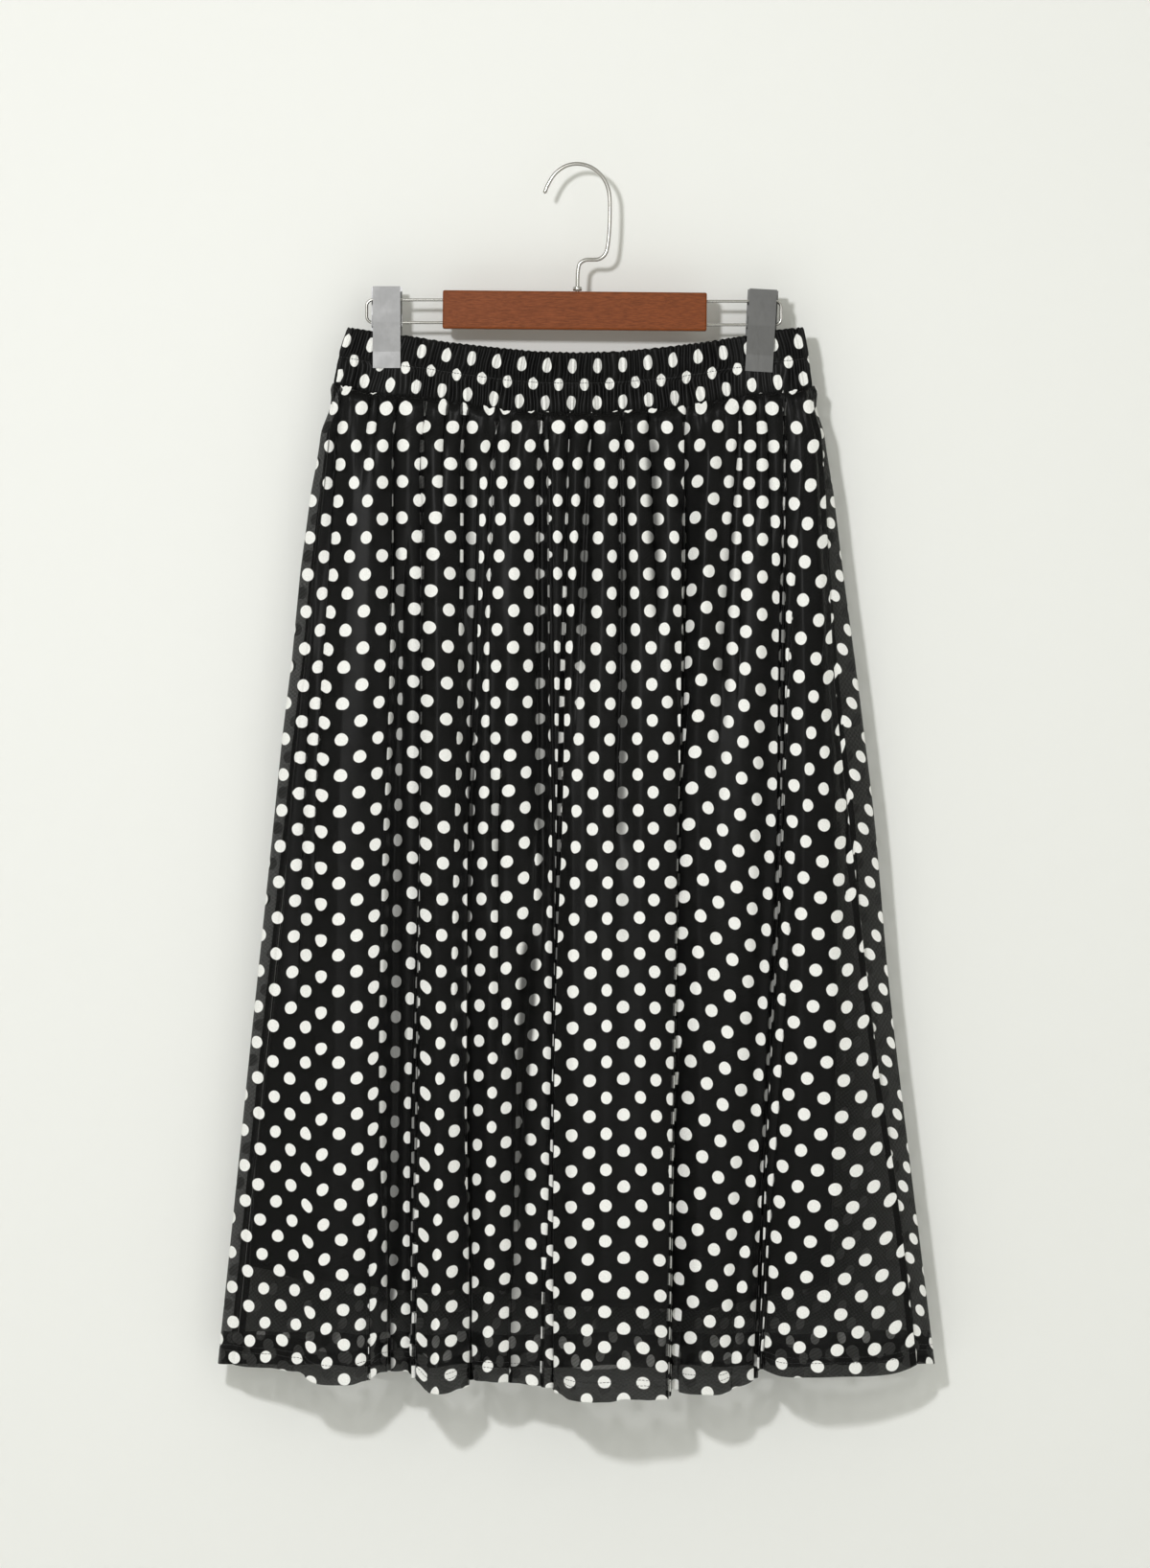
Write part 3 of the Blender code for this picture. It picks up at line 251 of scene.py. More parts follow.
# Distance along the cloth of the right side seam at the lanes' heights
SEAM_CLOTH = (244, 269, 299, 328, 367)
# Folds of the back, with the same values up to the drop of the hem
BACK_FOLDS = (
    ("n_valley", -176.0, -196.0, -250.0, 0, 1, 1, 2),
    ("n_crest", -164.0, -182.0, -226.0, 5, 7, 7, 4),
    ("o_valley", -148.0, -160.0, -203.0, 0, 1, 1, 3),
    ("o_crest", -124.0, -140.0, -172.0, 6, 8, 9, 5),
    ("p_valley", -106.0, -120.0, -146.0, 0, 2, 1, 3),
    ("p_crest", -86.0, -98.0, -116.0, 5, 7, 9, 5),
    ("q_valley", -68.0, -78.0, -90.0, 0, 1, 2, 3),
    ("q_crest", -46.0, -53.0, -60.0, 6, 9, 8, 6),
    ("r_valley", -27.0, -31.0, -34.0, 0, 1, 0, 4),
    ("r_crest", -4.0, -5.0, -4.0, 6, 8, 10, 6),
    ("t_valley", 18.0, 21.0, 26.0, 0, 2, 1, 3),
    ("t_crest", 38.0, 45.0, 54.0, 5, 7, 9, 6),
    ("u_valley", 58.0, 68.0, 84.0, 0, 1, 2, 3),
    ("u_crest", 80.0, 92.0, 112.0, 6, 8, 8, 5),
    ("v_valley", 99.0, 114.0, 141.0, 0, 1, 1, 3),
    ("v_crest", 120.0, 137.0, 168.0, 5, 8, 9, 5),
    ("w_valley", 140.0, 158.0, 197.0, 0, 1, 1, 3),
    ("w_crest", 158.0, 180.0, 224.0, 5, 7, 7, 4),
    ("x_valley", 172.0, 195.0, 248.0, 0, 1, 1, 2),
)
# The part of a panel's height that is drawn in to the band, and where the rows of its hem start
GATHERED_SHARE = 0.05
HEM_SHARE = 0.955
# Length of cloth gathered into each length round the back
BACK_FULLNESS = 1.35
# Round each side fold: distance in from the outline, depth, drop of the hem
LEFT_TURN = ((0.0, 0.0, 1.0), (5.0, 5.2, 2.0), (13.0, 6.0, 2.0))
RIGHT_TURN = ((7.0, 5.2, 1.0), (0.0, 0.0, 1.0))
# Ripples under the band: seed, length, depth, distance down over which they fade
RIPPLES = ((11, 5.4, 1.3, 12.0), (12, 10.8, 2.2, 26.0), (13, 21.6, 1.8, 62.0))
# Slow swells of the cloth: seed, depth, step across, step down, distance down to their full depth
SWELLS = ((31, 2.0, 26.0, 260.0, 60.0), (32, 0.9, 13.0, 160.0, 40.0))
# The roll of the hem's edge, heights of the rows up its inside, and those that the stitches pull in
HEM_ROLL = 0.75
HEM_ROWS = (2.0, 5.0, 9.0, 10.5, 13.5, 15.0, 18.0, 21.0)
HEM_PULLED = (10.5, 13.5)
HEM_STITCHES = (10.3, 14.6)

# Lining: z, left edge x, right edge x
LINING_SIDES = (
    (-172, -186.0, 180.5),
    (-185, -190.5, 184.0),
    (-214, -196.5, 186.5),
    (-286, -204.0, 190.0),
    (-386, -213.0, 196.0),
    (-480, -222.5, 203.0),
    (-580, -230.0, 204.5),
    (-680, -240.0, 203.5),
    (-780, -252.0, 201.5),
    (-900, -259.0, 197.5),
)
LINING_EDGE = ((-259, -860), (-200, -871), (-115, -882), (-72, -876), (-13, -891), (100, -895), (150, -884),
               (198, -875))
LINING_BACK_Z = -872.0
LINING_DEPTH = ((-172, 4.5, 3.6), (-895, 15.8, 7.2))
LINING_SIDE = 2.9
LINING_SLOPE = 0.25
LINING_TOP = (-186.0, 180.5)
LINING_FOOT = (-255.0, 198.0)
LINING_INSET = 2.5
LINING_SIDE_INSET = 5.5
# waves across, phase, depth at the waist, depth at the edge
LINING_WAVES = ((5.0, 0.7, 0.2, 0.5), (8.0, 2.1, 0.1, 0.3), (13.0, 4.0, 0.1, 0.35))

# Hanger: x, z along the hook's wire from its tip to the bar
HOOK_PATH = ((-25.5, -21.7), (-22.8, -15.0), (-16.6, -5.6), (-8.0, 0.2), (1.5, 1.6), (11.5, -1.2),
             (20.0, -8.6), (24.8, -19.0), (25.8, -37.5), (24.4, -60.5), (22.4, -68.6), (17.5, -72.8),
             (6.5, -73.7), (2.4, -76.3), (1.0, -81.0), (0.4, -98.0), (0.4, -108.0))
BAR_LENGTH = 206.6
BAR_X = -1.7
# side, x of the loop's outer end, z of its upper and lower wires
LOOPS = (("left", -165.7, -104.8, -122.6), ("right", 161.0, -105.9, -124.3))
WIRE_IN_BAR = 9.0
LOOP_CORNER = 4.8
# The collar's outline: radius, z
COLLAR = ((1.95, -97.8), (3.1, -97.8), (3.5, -97.4), (3.6, -96.9), (3.6, -95.4), (3.5, -94.9), (3.1, -94.5),
          (1.95, -94.5))
COLLAR_CENTRE = (0.4, 0.0)
# side, x of the clip's middle, z of its top, tilt, z of its pivot
CLIPS = (
    ("left", -148.9, -94.5, 0.0, -122.6),
    ("right", 145.9, -96.8, math.radians(3.2), -124.3),
)
# The springs: turns, half length, radius of the coil, radius of the wire
SPRING = (6.0, 7.6, 2.75, 0.45)

# Room, in millimetres, and its lights: place in metres and width
WALL_Y = 34.0
WALL_HALF_WIDTH = 2500.0
WALL_TOP = 1500.0
FLOOR_HALF_WIDTH = 4000.0
FLOOR_Z = -1250.0
KEY_LIGHT = (-0.66, -2.5, 0.40), 0.18
FILL_LIGHT = (1.6, -3.4, 0.4), 2.5
BACK_LIGHT = (0.6, 3.2, 1.0), 2.0
LIGHTS_AIM = (0.0, 0.0, -0.5)
CAMERA_PLACE = (-0.0015, -9.0, -0.48375)


# Shapes


def table(rows, column, at):
    """A column of a table read at places of its first column, which may run either way."""
    data = np.array(rows, float)
    data = data[np.argsort(data[:, 0])]
    return np.interp(at, data[:, 0], data[:, column])


def smooth(t):
    t = np.clip(t, 0.0, 1.0)
    return t * t * (3.0 - 2.0 * t)


def wander(seed, at, step):
    """A smooth random line from -1 to 1 that turns about once every step."""
    at = np.asarray(at, float) / step
    values = np.random.default_rng(seed).uniform(-1.0, 1.0, 4096)
    whole = np.floor(at).astype(int)
    part = smooth(at - whole)
    return values[whole % 4096] * (1 - part) + values[(whole + 1) % 4096] * part


def wander_sheet(seed, across, down, step_across, step_down):
    """A smooth random surface from -1 to 1."""
    a = np.asarray(across, float) / step_across
    b = np.asarray(down, float) / step_down
    values = np.random.default_rng(seed).uniform(-1.0, 1.0, (512, 512))
    i, j = np.floor(a).astype(int), np.floor(b).astype(int)
    s, t = smooth(a - i), smooth(b - j)
    low = values[i % 512, j % 512] * (1 - s) + values[(i + 1) % 512, j % 512] * s
    high = values[i % 512, (j + 1) % 512] * (1 - s) + values[(i + 1) % 512, (j + 1) % 512] * s
    return low * (1 - t) + high * t


def fading(z, top, foot, fade):
    """1 between two heights and 0 outside them, with soft ends."""
    return smooth((top - z) / fade[0]) * smooth((z - foot) / fade[1])


def bell(offset, reach):
    return np.exp(-((offset / reach) ** 2))


def gathers(lane, seed, period):
    """Rounded puffs with narrow creases between them, uneven along a line: 0 in a crease, 1 on a puff."""
    phase = lane / period + 0.45 * wander(seed, lane, period * 2.3)
    return np.abs(np.sin(math.pi * phase)) ** 0.7


def length_of(vectors):
    return np.linalg.norm(vectors, axis=-1)


def distance_along(points):
    """Distance of each point from the first, along the line through them."""
    return np.concatenate([[0.0], np.cumsum(length_of(np.diff(points, axis=0)))])


def closed_line(points):
    return np.concatenate([points, points[:1]])


def hermite(t, step, low, high, low_slope, high_slope):
    """A smooth line from low to high with given slopes at its ends, where t goes from 0 to 1 over a step."""
    rise = 3 * t**2 - 2 * t**3
    leave, arrive = t**3 - 2 * t**2 + t, t**3 - t**2
    return low * (1 - rise) + high * rise + step * (low_slope * leave + high_slope * arrive)


def band_half_depth(x, share, inset):
    """Half depth of the flattened ring of the band, with round ends, less an inset."""
    left = table(BAND_SIDES, 1, share) + inset
    right = table(BAND_SIDES, 2, share) - inset
    half = table(BAND_DEPTH, 1, x) + 1.2 * smooth((share - 0.5) * 2.0) - inset
    end = np.minimum(x - left, right - x)
    turn = np.clip((half - end) / half, 0.0, 1.0)
    return half * np.sqrt(1.0 - turn**2)


def band_z(x, share):
    across = np.clip(x, *BAND_REACH)
    return table(BAND_TOP, 1, across) * (1.0 - share) + table(BAND_SEAM, 1, across) * share


def seam_z(x):
    return table(BAND_SEAM, 1, np.clip(x, *BAND_REACH)) - SEAM_GAP


def even_points(points, count):
    along = distance_along(points)
    at = np.linspace(0.0, along[-1], count + 1)
    return np.stack([np.interp(at, along, points[:, i]) for i in range(points.shape[1])], axis=1)


def band_ring(share, inset, count):
    """count points round the band at one height, from its right end along the front, and then the back."""
    left = table(BAND_SIDES, 1, share) + inset
    right = table(BAND_SIDES, 2, share) - inset
    turn = np.linspace(0.0, math.pi, 1200)
    x = (left + right) / 2 + (right - left) / 2 * np.cos(turn)
    front = np.stack([x, -band_half_depth(x, share, inset)], axis=1)
    front[0, 1] = front[-1, 1] = 0.0
    front = even_points(front, count // 2)
    back = front[::-1] * (1.0, -1.0)
    return np.concatenate([front[:-1], back[:-1]])


def outward_round(points):
    """Unit normals away from the middle of closed level lines, of shape (rows, columns, 2)."""
    along = np.roll(points, -1, axis=1) - np.roll(points, 1, axis=1)
    normal = np.stack([-along[..., 1], along[..., 0]], axis=-1)
    return normal / np.maximum(length_of(normal), 1e-9)[..., None]


def through_heights(values, z):
    """A fold's column at any height: a smooth line through its three given values."""
    z0, z1, z2 = FOLD_Z
    v0, v1, v2 = values
    upper, lower = (v1 - v0) / (z1 - z0), (v2 - v1) / (z2 - z1)
    middle = 0.0 if upper * lower <= 0 else 2 * upper * lower / (upper + lower)
    z = np.clip(z, z2, z0)
    first = z >= z1
    za, zb = np.where(first, z0, z1), np.where(first, z1, z2)
    va, vb = np.where(first, v0, v1), np.where(first, v1, v2)
    ma, mb = np.where(first, upper, middle), np.where(first, middle, lower)
    return hermite((z - za) / (zb - za), zb - za, va, vb, ma, mb)


def valley_depth(x, z, column):
    left, right = table(OUTLINE, 1, z), table(OUTLINE, 2, z)
    side = table(VALLEYS, 3, z)
    full = table(VALLEYS, column, z)
    return side + (full - side) * smooth(np.minimum(x - left, right - x) / SIDE_TAPER)


def cloth_down(z):
    return table(CLOTH_DOWN, 1, z)


def fold_points(share, folds, column, sign):
    """Points (level, fold, x y z u v) of one side's folds."""
    found = []
    for name, x0, x1, x2, d0, d1, d2, drop, *cloth in folds:
        top = seam_z(x0 * TOP_DRAWN_IN)
        z = top + (HEM_Z - drop - top) * share
        x = through_heights((x0, x1, x2), z)
        depth = through_heights((d0, d1, d2), z)
        y = sign * (valley_depth(x, z, column) + depth)
        down = cloth_down(z)
        across = np.zeros_like(z)
        if cloth:
            heights = [-a for a in CLOTH_Z]
            across = np.interp(-z, heights, cloth[:4])
            down = down + np.interp(-z, heights, (0.0, *cloth[4:]))
        found.append(np.column_stack([x, y, z, across, down]))
    return np.stack(found, axis=1)


def side_points(share, offsets, left):
    """Points of one side fold, in fold_points' shape."""
    found = []
    top = SIDE_TOP - SEAM_GAP
    for inward, y, drop in offsets:
        z = top + (HEM_Z - drop - top) * share
        edge = table(OUTLINE, 1 if left else 2, z)
        x = edge + inward if left else edge - inward
        depth = y * table(VALLEYS, 3, z) / 5.0
        found.append(np.column_stack([x, depth, z, np.zeros_like(x), cloth_down(z)]))
    return np.stack(found, axis=1)


def seam_points(share):
    """Points of the right side seam, in fold_points' shape."""
    top = seam_z(184.0)
    z = top + (HEM_Z - 1.0 - top) * share
    x = table(OUTLINE, 3, z)
    y = -(valley_depth(x, z, 1) + 1.0 + 2.0 * share)
    return np.column_stack([x, y, z, np.zeros_like(x), cloth_down(z)])[:, None]


def through(points, parts):
    """Smooth lines through points (rows, count, values), with parts[i] steps between each pair."""
    first, last = 2 * points[:, :1] - points[:, 1:2], 2 * points[:, -1:] - points[:, -2:-1]
    ends = np.concatenate([first, points, last], axis=1)
    gaps = np.maximum(length_of(np.diff(ends[..., :3], axis=1)) ** 0.5, 1e-6)
    knots = np.concatenate([np.zeros((len(gaps), 1)), np.cumsum(gaps, axis=1)], axis=1)
    line = []
    for i, count in enumerate(parts):
        t0, t1, t2, t3 = (knots[:, i + k][:, None] for k in range(4))
        p0, p1, p2, p3 = (ends[:, i + k] for k in range(4))
        for step in range(count):
            t = t1 + (t2 - t1) * step / count
            a1 = (t1 - t) / (t1 - t0) * p0 + (t - t0) / (t1 - t0) * p1
            a2 = (t2 - t) / (t2 - t1) * p1 + (t - t1) / (t2 - t1) * p2
            a3 = (t3 - t) / (t3 - t2) * p2 + (t - t2) / (t3 - t2) * p3
            b1 = (t2 - t) / (t2 - t0) * a1 + (t - t0) / (t2 - t0) * a2
            b2 = (t3 - t) / (t3 - t1) * a2 + (t - t1) / (t3 - t1) * a3
            line.append((t2 - t) / (t2 - t1) * b1 + (t - t1) / (t2 - t1) * b2)
    line.append(points[:, -1])
    return np.stack(line, axis=1)


def blend_to_band(grid, inset, share, left_edge, right_edge, turn_depth, side_inset):
    """Draws the top rows of a panel in to the band that they are gathered into."""
    band_left = table(BAND_SIDES, 1, 1.0) + side_inset
    band_right = table(BAND_SIDES, 2, 1.0) - side_inset
    first = grid[0]
    across = np.clip((first[:, 0] - left_edge) / (right_edge - left_edge), 0.0, 1.0)
    x = band_left + (band_right - band_left) * across
    side = np.clip(first[:, 1] / turn_depth, -1.0, 1.0)
    top = np.column_stack([x, band_half_depth(x, 1.0, inset) * side, seam_z(x)])
    weight = smooth(share / GATHERED_SHARE)[:, None, None]
    held = np.broadcast_to(top, (len(share), *top.shape)).copy()
    held[..., 2] += grid[..., 2] - first[None, :, 2]
    result = grid.copy()
    result[..., :3] = held * (1 - weight) + grid[..., :3] * weight
    return result


def skirt_shares(sizes):
    """Heights of the panel's rows, close together at the gathers and at the hem."""
    gathered = np.linspace(0.0, GATHERED_SHARE, 26)[:-1]
    body = np.linspace(GATHERED_SHARE, HEM_SHARE, sizes.rows)[:-1]
    hem = np.linspace(HEM_SHARE, 1.0, 17)
    return np.concatenate([gathered, body, hem])


def between_heights(rows, heights, index, z):
    """A smooth reading of table rows at heights z, for the rows named by index."""
    rows, heights = np.array(rows, float)[:, ::-1], np.array(heights, float)[::-1]
    slopes = np.gradient(rows, heights, axis=1)
    z = np.clip(z, heights[0] - 12.0, heights[-1] + 12.0)
    step = np.clip(np.searchsorted(heights, z) - 1, 0, len(heights) - 2)
    high = heights[step + 1] - heights[step]
    ends = rows[index, step], rows[index, step + 1], slopes[index, step], slopes[index, step + 1]
    return hermite((z - heights[step]) / high, high, *ends)


def hung_cloth(u, z):
    """x of the front's cloth at a distance along it, and how much of it there is hidden in a crease.

    A lane narrower than its cloth has the rest in a narrow crease, beside the column that shows less."""
    places, shows = [row[:5] for row in LANES], [row[5:] for row in LANES]
    lane = np.clip(np.floor((u - LANE_START) / LANE).astype(int), 0, len(LANES) - 2)
    low, high = (between_heights(places, LANE_Z, lane + i, z) for i in (0, 1))
    show = (between_heights(shows, LANE_Z, lane + i, z) / 10 for i in (0, 1))
    left, right = (np.clip(part - 0.15, 0.02, 0.85) for part in show)
    shown = np.maximum(high - low, 0.4)
    taken = LANE - shown
    taken = np.clip(taken * smooth((taken - 1.5) / 3.0), 0.0, 13.4)
    start = (LANE - taken) * left / (left + right)
    centre = LANE_START + LANE * lane + start + taken / 2
    narrow = CREASE_SLOPE * taken
    for at, top, foot, width in GAPS:
        reach = fading(z, top, foot, GAP_FADE) * smooth(taken / 5.0)
        narrow = narrow + width * reach * bell(centre - at, GAP_REACH)
    narrow = np.minimum(narrow, 0.6 * shown)
    place = u - centre
    inside = np.clip(place, -taken / 2, taken / 2) + taken / 2
    outside = np.minimum(place + taken / 2, 0.0) + start + np.maximum(place - taken / 2, 0.0)
    x = low + outside * (shown - narrow) / (LANE - taken) + inside * narrow / np.maximum(taken, 1e-6)
    return x, np.clip(taken / 2 - np.abs(place), 0.0, 1.2) / 1.2


def crease_depth(x, u, hidden):
    """How deep the hidden cloth goes, down one wall and up the other, and how far each face rounds out."""
    count = x.shape[1]
    walls, gaps = [], []
    for order in (range(1, count), range(count - 2, -1, -1)):
        wall, gap = np.zeros_like(x), np.full_like(x, 15.0)
        for i in order:
            before = i - 1 if order.step > 0 else i + 1
            step = np.abs(u[:, i] - u[:, before])
            change = step * (CREASE_DOWN * hidden[:, i] - CREASE_UP * (1 - hidden[:, i]))
            wall[:, i] = np.clip(wall[:, before] + change, 0.0, CREASE_DEEPEST)
            along = np.abs(x[:, i] - x[:, before])
            gap[:, i] = np.minimum((gap[:, before] + along) * (1 - hidden[:, i]), 40.0)
        walls.append(wall)
        gaps.append(gap)
    depth = np.minimum(*walls)
    width = np.maximum(gaps[0] + gaps[1], 1e-3)
    share, most = FACE_ROUND
    bulge = np.minimum(share * width, most) * 4 * gaps[0] * gaps[1] / width**2
    return depth, bulge


def hem_drops(places):
    """How far the hem drops at places among the front's folds: round lobes with narrow notches between."""
    drops = np.array([fold[7] for fold in FRONT_FOLDS] + [1.0])
    first = np.minimum(places.astype(int), len(drops) - 2)
    rise = drops[first + 1] - drops[first]
    from_low = np.where(rise > 0, places - first, 1 - places + first)
    drop = np.minimum(drops[first], drops[first + 1]) + np.abs(rise) * (1 - (1 - from_low) ** 3.6)
    return soften(drop[None], 4)[0]


def front_cloth(share, folds, seam, sizes):
    """The front panel from its left fold to the right seam, and the depth of its creases."""
    seam_u = between_heights([SEAM_CLOTH], LANE_Z, np.zeros(len(share), int), seam[:, 0, 2])
    even_start, even_end = -350.0, 210.0
    fixed = np.arange(even_start, even_end, sizes.thread)
    left = np.linspace(0.0, 1.0, sizes.edge_columns, endpoint=False)
    left = folds[:, 0, 3][:, None] * (1 - left) + even_start * left
    right = np.linspace(0.0, 1.0, sizes.edge_columns + 1)
    right = even_end * (1 - right) + seam_u[:, None] * right
    u = np.concatenate([left, np.broadcast_to(fixed, (len(share), len(fixed))), right], axis=1)
    knots = np.concatenate([folds, seam], axis=1)
    knots[:, -1, 3] = seam_u
    knots[:, -1, 4] = knots[:, -2, 4]
    drop = hem_drops(np.interp(u[-1], knots[-1, :, 3], np.arange(knots.shape[1])))
    top_x = hung_cloth(u[:1], np.full_like(u[:1], FOLD_Z[0]))[0][0]
    top = seam_z(top_x * TOP_DRAWN_IN)
    z = top + (HEM_Z - drop - top) * share[:, None]
    x, hidden = hung_cloth(u, z)
    depth, bulge = crease_depth(x, u, hidden)
    depth = soften(depth.T, 1).T
    bulge = soften(soften(bulge, 2).T, 3).T
    raised, beside, reach = RAISED_EDGE
    for at, top, foot, width in GAPS:
        bulge = bulge + raised * width * fading(z, top, foot, GAP_FADE) * bell(u - at - beside, reach)
    for at, half, top, foot, deep in RECESSES:
        depth = depth + deep * fading(z, top, foot, RECESS_FADE) * bell(u - at, half)
    y, v = np.empty_like(u), np.empty_like(u)
    for row in range(len(share)):
        y[row] = np.interp(u[row], knots[row, :, 3], knots[row, :, 1])
        v[row] = np.interp(u[row], knots[row, :, 3], knots[row, :, 4])
    y, v = soften(y, 3), soften(v, 8)
    for edge in (0, -1):
        off = knots[:, edge, 0] - x[:, edge]
        x = x + off[:, None] * smooth(1 - np.abs(u - u[:, edge][:, None]) / 40.0)
    held = np.maximum(np.abs(y) - table(LINING_DEPTH, 1, z) - 1.5, 1.2)
    return np.stack([x, y, z, u, v], axis=2), np.minimum(depth, held) - bulge


def soften(values, reach):
    """Evens out each row over its neighbours, its two ends kept."""
    weights = np.hanning(2 * reach + 3)[1:-1]
    weights /= weights.sum()
    count = values.shape[1]
    ends = np.pad(values, ((0, 0), (reach, reach)), mode="edge")
    found = sum(w * ends[:, i : i + count] for i, w in enumerate(weights))
    settled = smooth(np.minimum(np.arange(count), np.arange(count)[::-1]) / (reach + 1))
    return values * (1 - settled) + found * settled


def skirt_grid(sizes):
    """Closed lines round the skirt at every height, with cloth coordinates, and where its seams lie."""
    share = skirt_shares(sizes)
    front = fold_points(share, FRONT_FOLDS, 1, -1.0)
    left = side_points(share, LEFT_TURN, True)
    back = fold_points(share, BACK_FOLDS, 2, 1.0)
    right = side_points(share, RIGHT_TURN, False)
    cloth, crease = front_cloth(share, front, seam_points(share), sizes)
    cloth, crease = cloth[:, ::-1], crease[:, ::-1]
    points = np.concatenate([front[:, 1::-1], left, back, right, cloth[:, :2]], axis=1)
    steps = length_of(np.diff(points[..., :3], axis=1))
    left_end = 2 + left.shape[1]
    last = points.shape[1] - 2
    for i in range(2, last):
        fuller = 1.0 if i < left_end else BACK_FULLNESS
        points[:, i, 3] = points[:, i - 1, 3] - fuller * steps[:, i - 1]
    points[:, 2:left_end, 4] = points[:, 1:2, 4]
    cloth_end = points[:, last - 1, 3] - BACK_FULLNESS * steps[:, last - 1]
    points[:, last:, 3] = np.stack([cloth_end, cloth_end - BACK_FULLNESS * steps[:, last]], axis=1)
    points[:, last:, 4] = -points[:, last:, 2] - 435.0
    parts = [int(np.clip(round(width / sizes.column_width), 3, 22)) for width in steps.max(axis=0)]
    rest = through(points, parts)[:, parts[0] : -1 - parts[-1]]
    left_seam = cloth.shape[1] - 1 + sum(parts[1 : 1 + left.shape[1]])
    grid = np.concatenate([cloth[:, :-1], rest], axis=1)
    crease = np.concatenate([crease[:, :-1], np.zeros(rest.shape[:2])], axis=1)
    edges = grid[0, :, 0].min(), grid[0, :, 0].max()
    grid = blend_to_band(grid, GAP, share, *edges, 4.0, GAP)
    down = grid[0, :, 2] - grid[..., 2]
    grid[..., 1] += crease * smooth(down / 7.0)
    return share, grid, left_seam, cloth_end


def add_gathers(share, grid, left_seam, sizes):
    """Puffs under the band, long soft ripples below them and a slight wave at the hem."""
    lane = distance_along(closed_line(grid[0, :, :3]))
    lane = lane[:-1] / lane[-1] * BAND_GATHERS * RIPPLES[0][1]
    down = grid[0, :, 2] - grid[..., 2]
    lanes = lane + 0 * down
    wave = 1.3 * bell(down - 6.0, 6.0)
    for seed, period, depth, fade in RIPPLES:
        uneven = 0.75 + 0.5 * wander(seed + 20, lane, period * 1.7)
        shift = wander_sheet(seed + 40, lanes, down, period * 3, 30.0) * period * 0.25
        wave += depth * uneven * (gathers(lane + shift, seed, period) - 0.55) * np.exp(-down / fade)
    for seed, depth, across, along, full in SWELLS:
        wave += depth * wander_sheet(seed, lanes, down, across, along) * smooth(down / full)
    near_hem = smooth((share - 0.93) / 0.07)[:, None]
    wave += 0.5 * near_hem * wander_sheet(33, lanes, down, 17.0, 40.0)
    puff = gathers(lane, 12, 10.8) + 0.5 * gathers(lane, 11, 5.4)
    over = bell(down, 4.5)
    held = smooth(down / 3.0)
    front = np.arange(grid.shape[1]) < left_seam
    fullness = soften(np.where(front, sizes.front_ruffle, sizes.back_ruffle)[None], 12)
    result = grid.copy()
    result[..., :2] += outward_round(grid[..., :2]) * (wave * held * fullness + 1.3 * over)[..., None]
    result[..., 2] += over * (0.4 + 1.7 * puff) + near_hem * 1.1 * wander(34, lane, 19.0)
    return result


def turned_hem(panel, depth):
    """Rows that carry a panel round its lower edge and up inside it."""
    last, before = panel[-1], panel[-2]
    down = last[:, :3] - before[:, :3]
    down /= length_of(down)[:, None]
    normal = hem_normals(panel)
    rows = []
    for turn in (0.25, 0.5, 0.75, 1.0):
        angle = math.pi * turn
        row = last.copy()
        row[:, :3] += HEM_ROLL * (down * math.sin(angle) - normal * (1 - math.cos(angle)))
        row[:, 4] += HEM_ROLL * angle
        rows.append(row)
    for height in (*HEM_ROWS, depth - 1.0, depth):
        row = last.copy()
        inward = 2 * HEM_ROLL - (0.5 if height in HEM_PULLED else 0.0)
        row[:, :3] = rows_at(panel, height) - normal * inward
        row[:, 4] += height + HEM_ROLL * math.pi
        rows.append(row)
    return np.concatenate([panel, np.array(rows)])


def hem_normals(panel):
    """Level unit vectors out from a panel's lower edge."""
    along = np.gradient(panel[-1, :, :2], axis=0)
    normal = np.stack([-along[:, 1], along[:, 0], np.zeros(len(along))], axis=1)
    return normal / np.maximum(length_of(normal), 1e-9)[:, None]


def rows_at(panel, height):
    """The line on a panel at a height above its hem, measured on the cloth."""
    climb = length_of(panel[-1, :, :3][None] - panel[..., :3])
    columns = zip(climb[::-1].T, panel[::-1].swapaxes(0, 1))
    return np.array([[np.interp(height, up, column[:, k]) for k in range(3)] for up, column in columns])


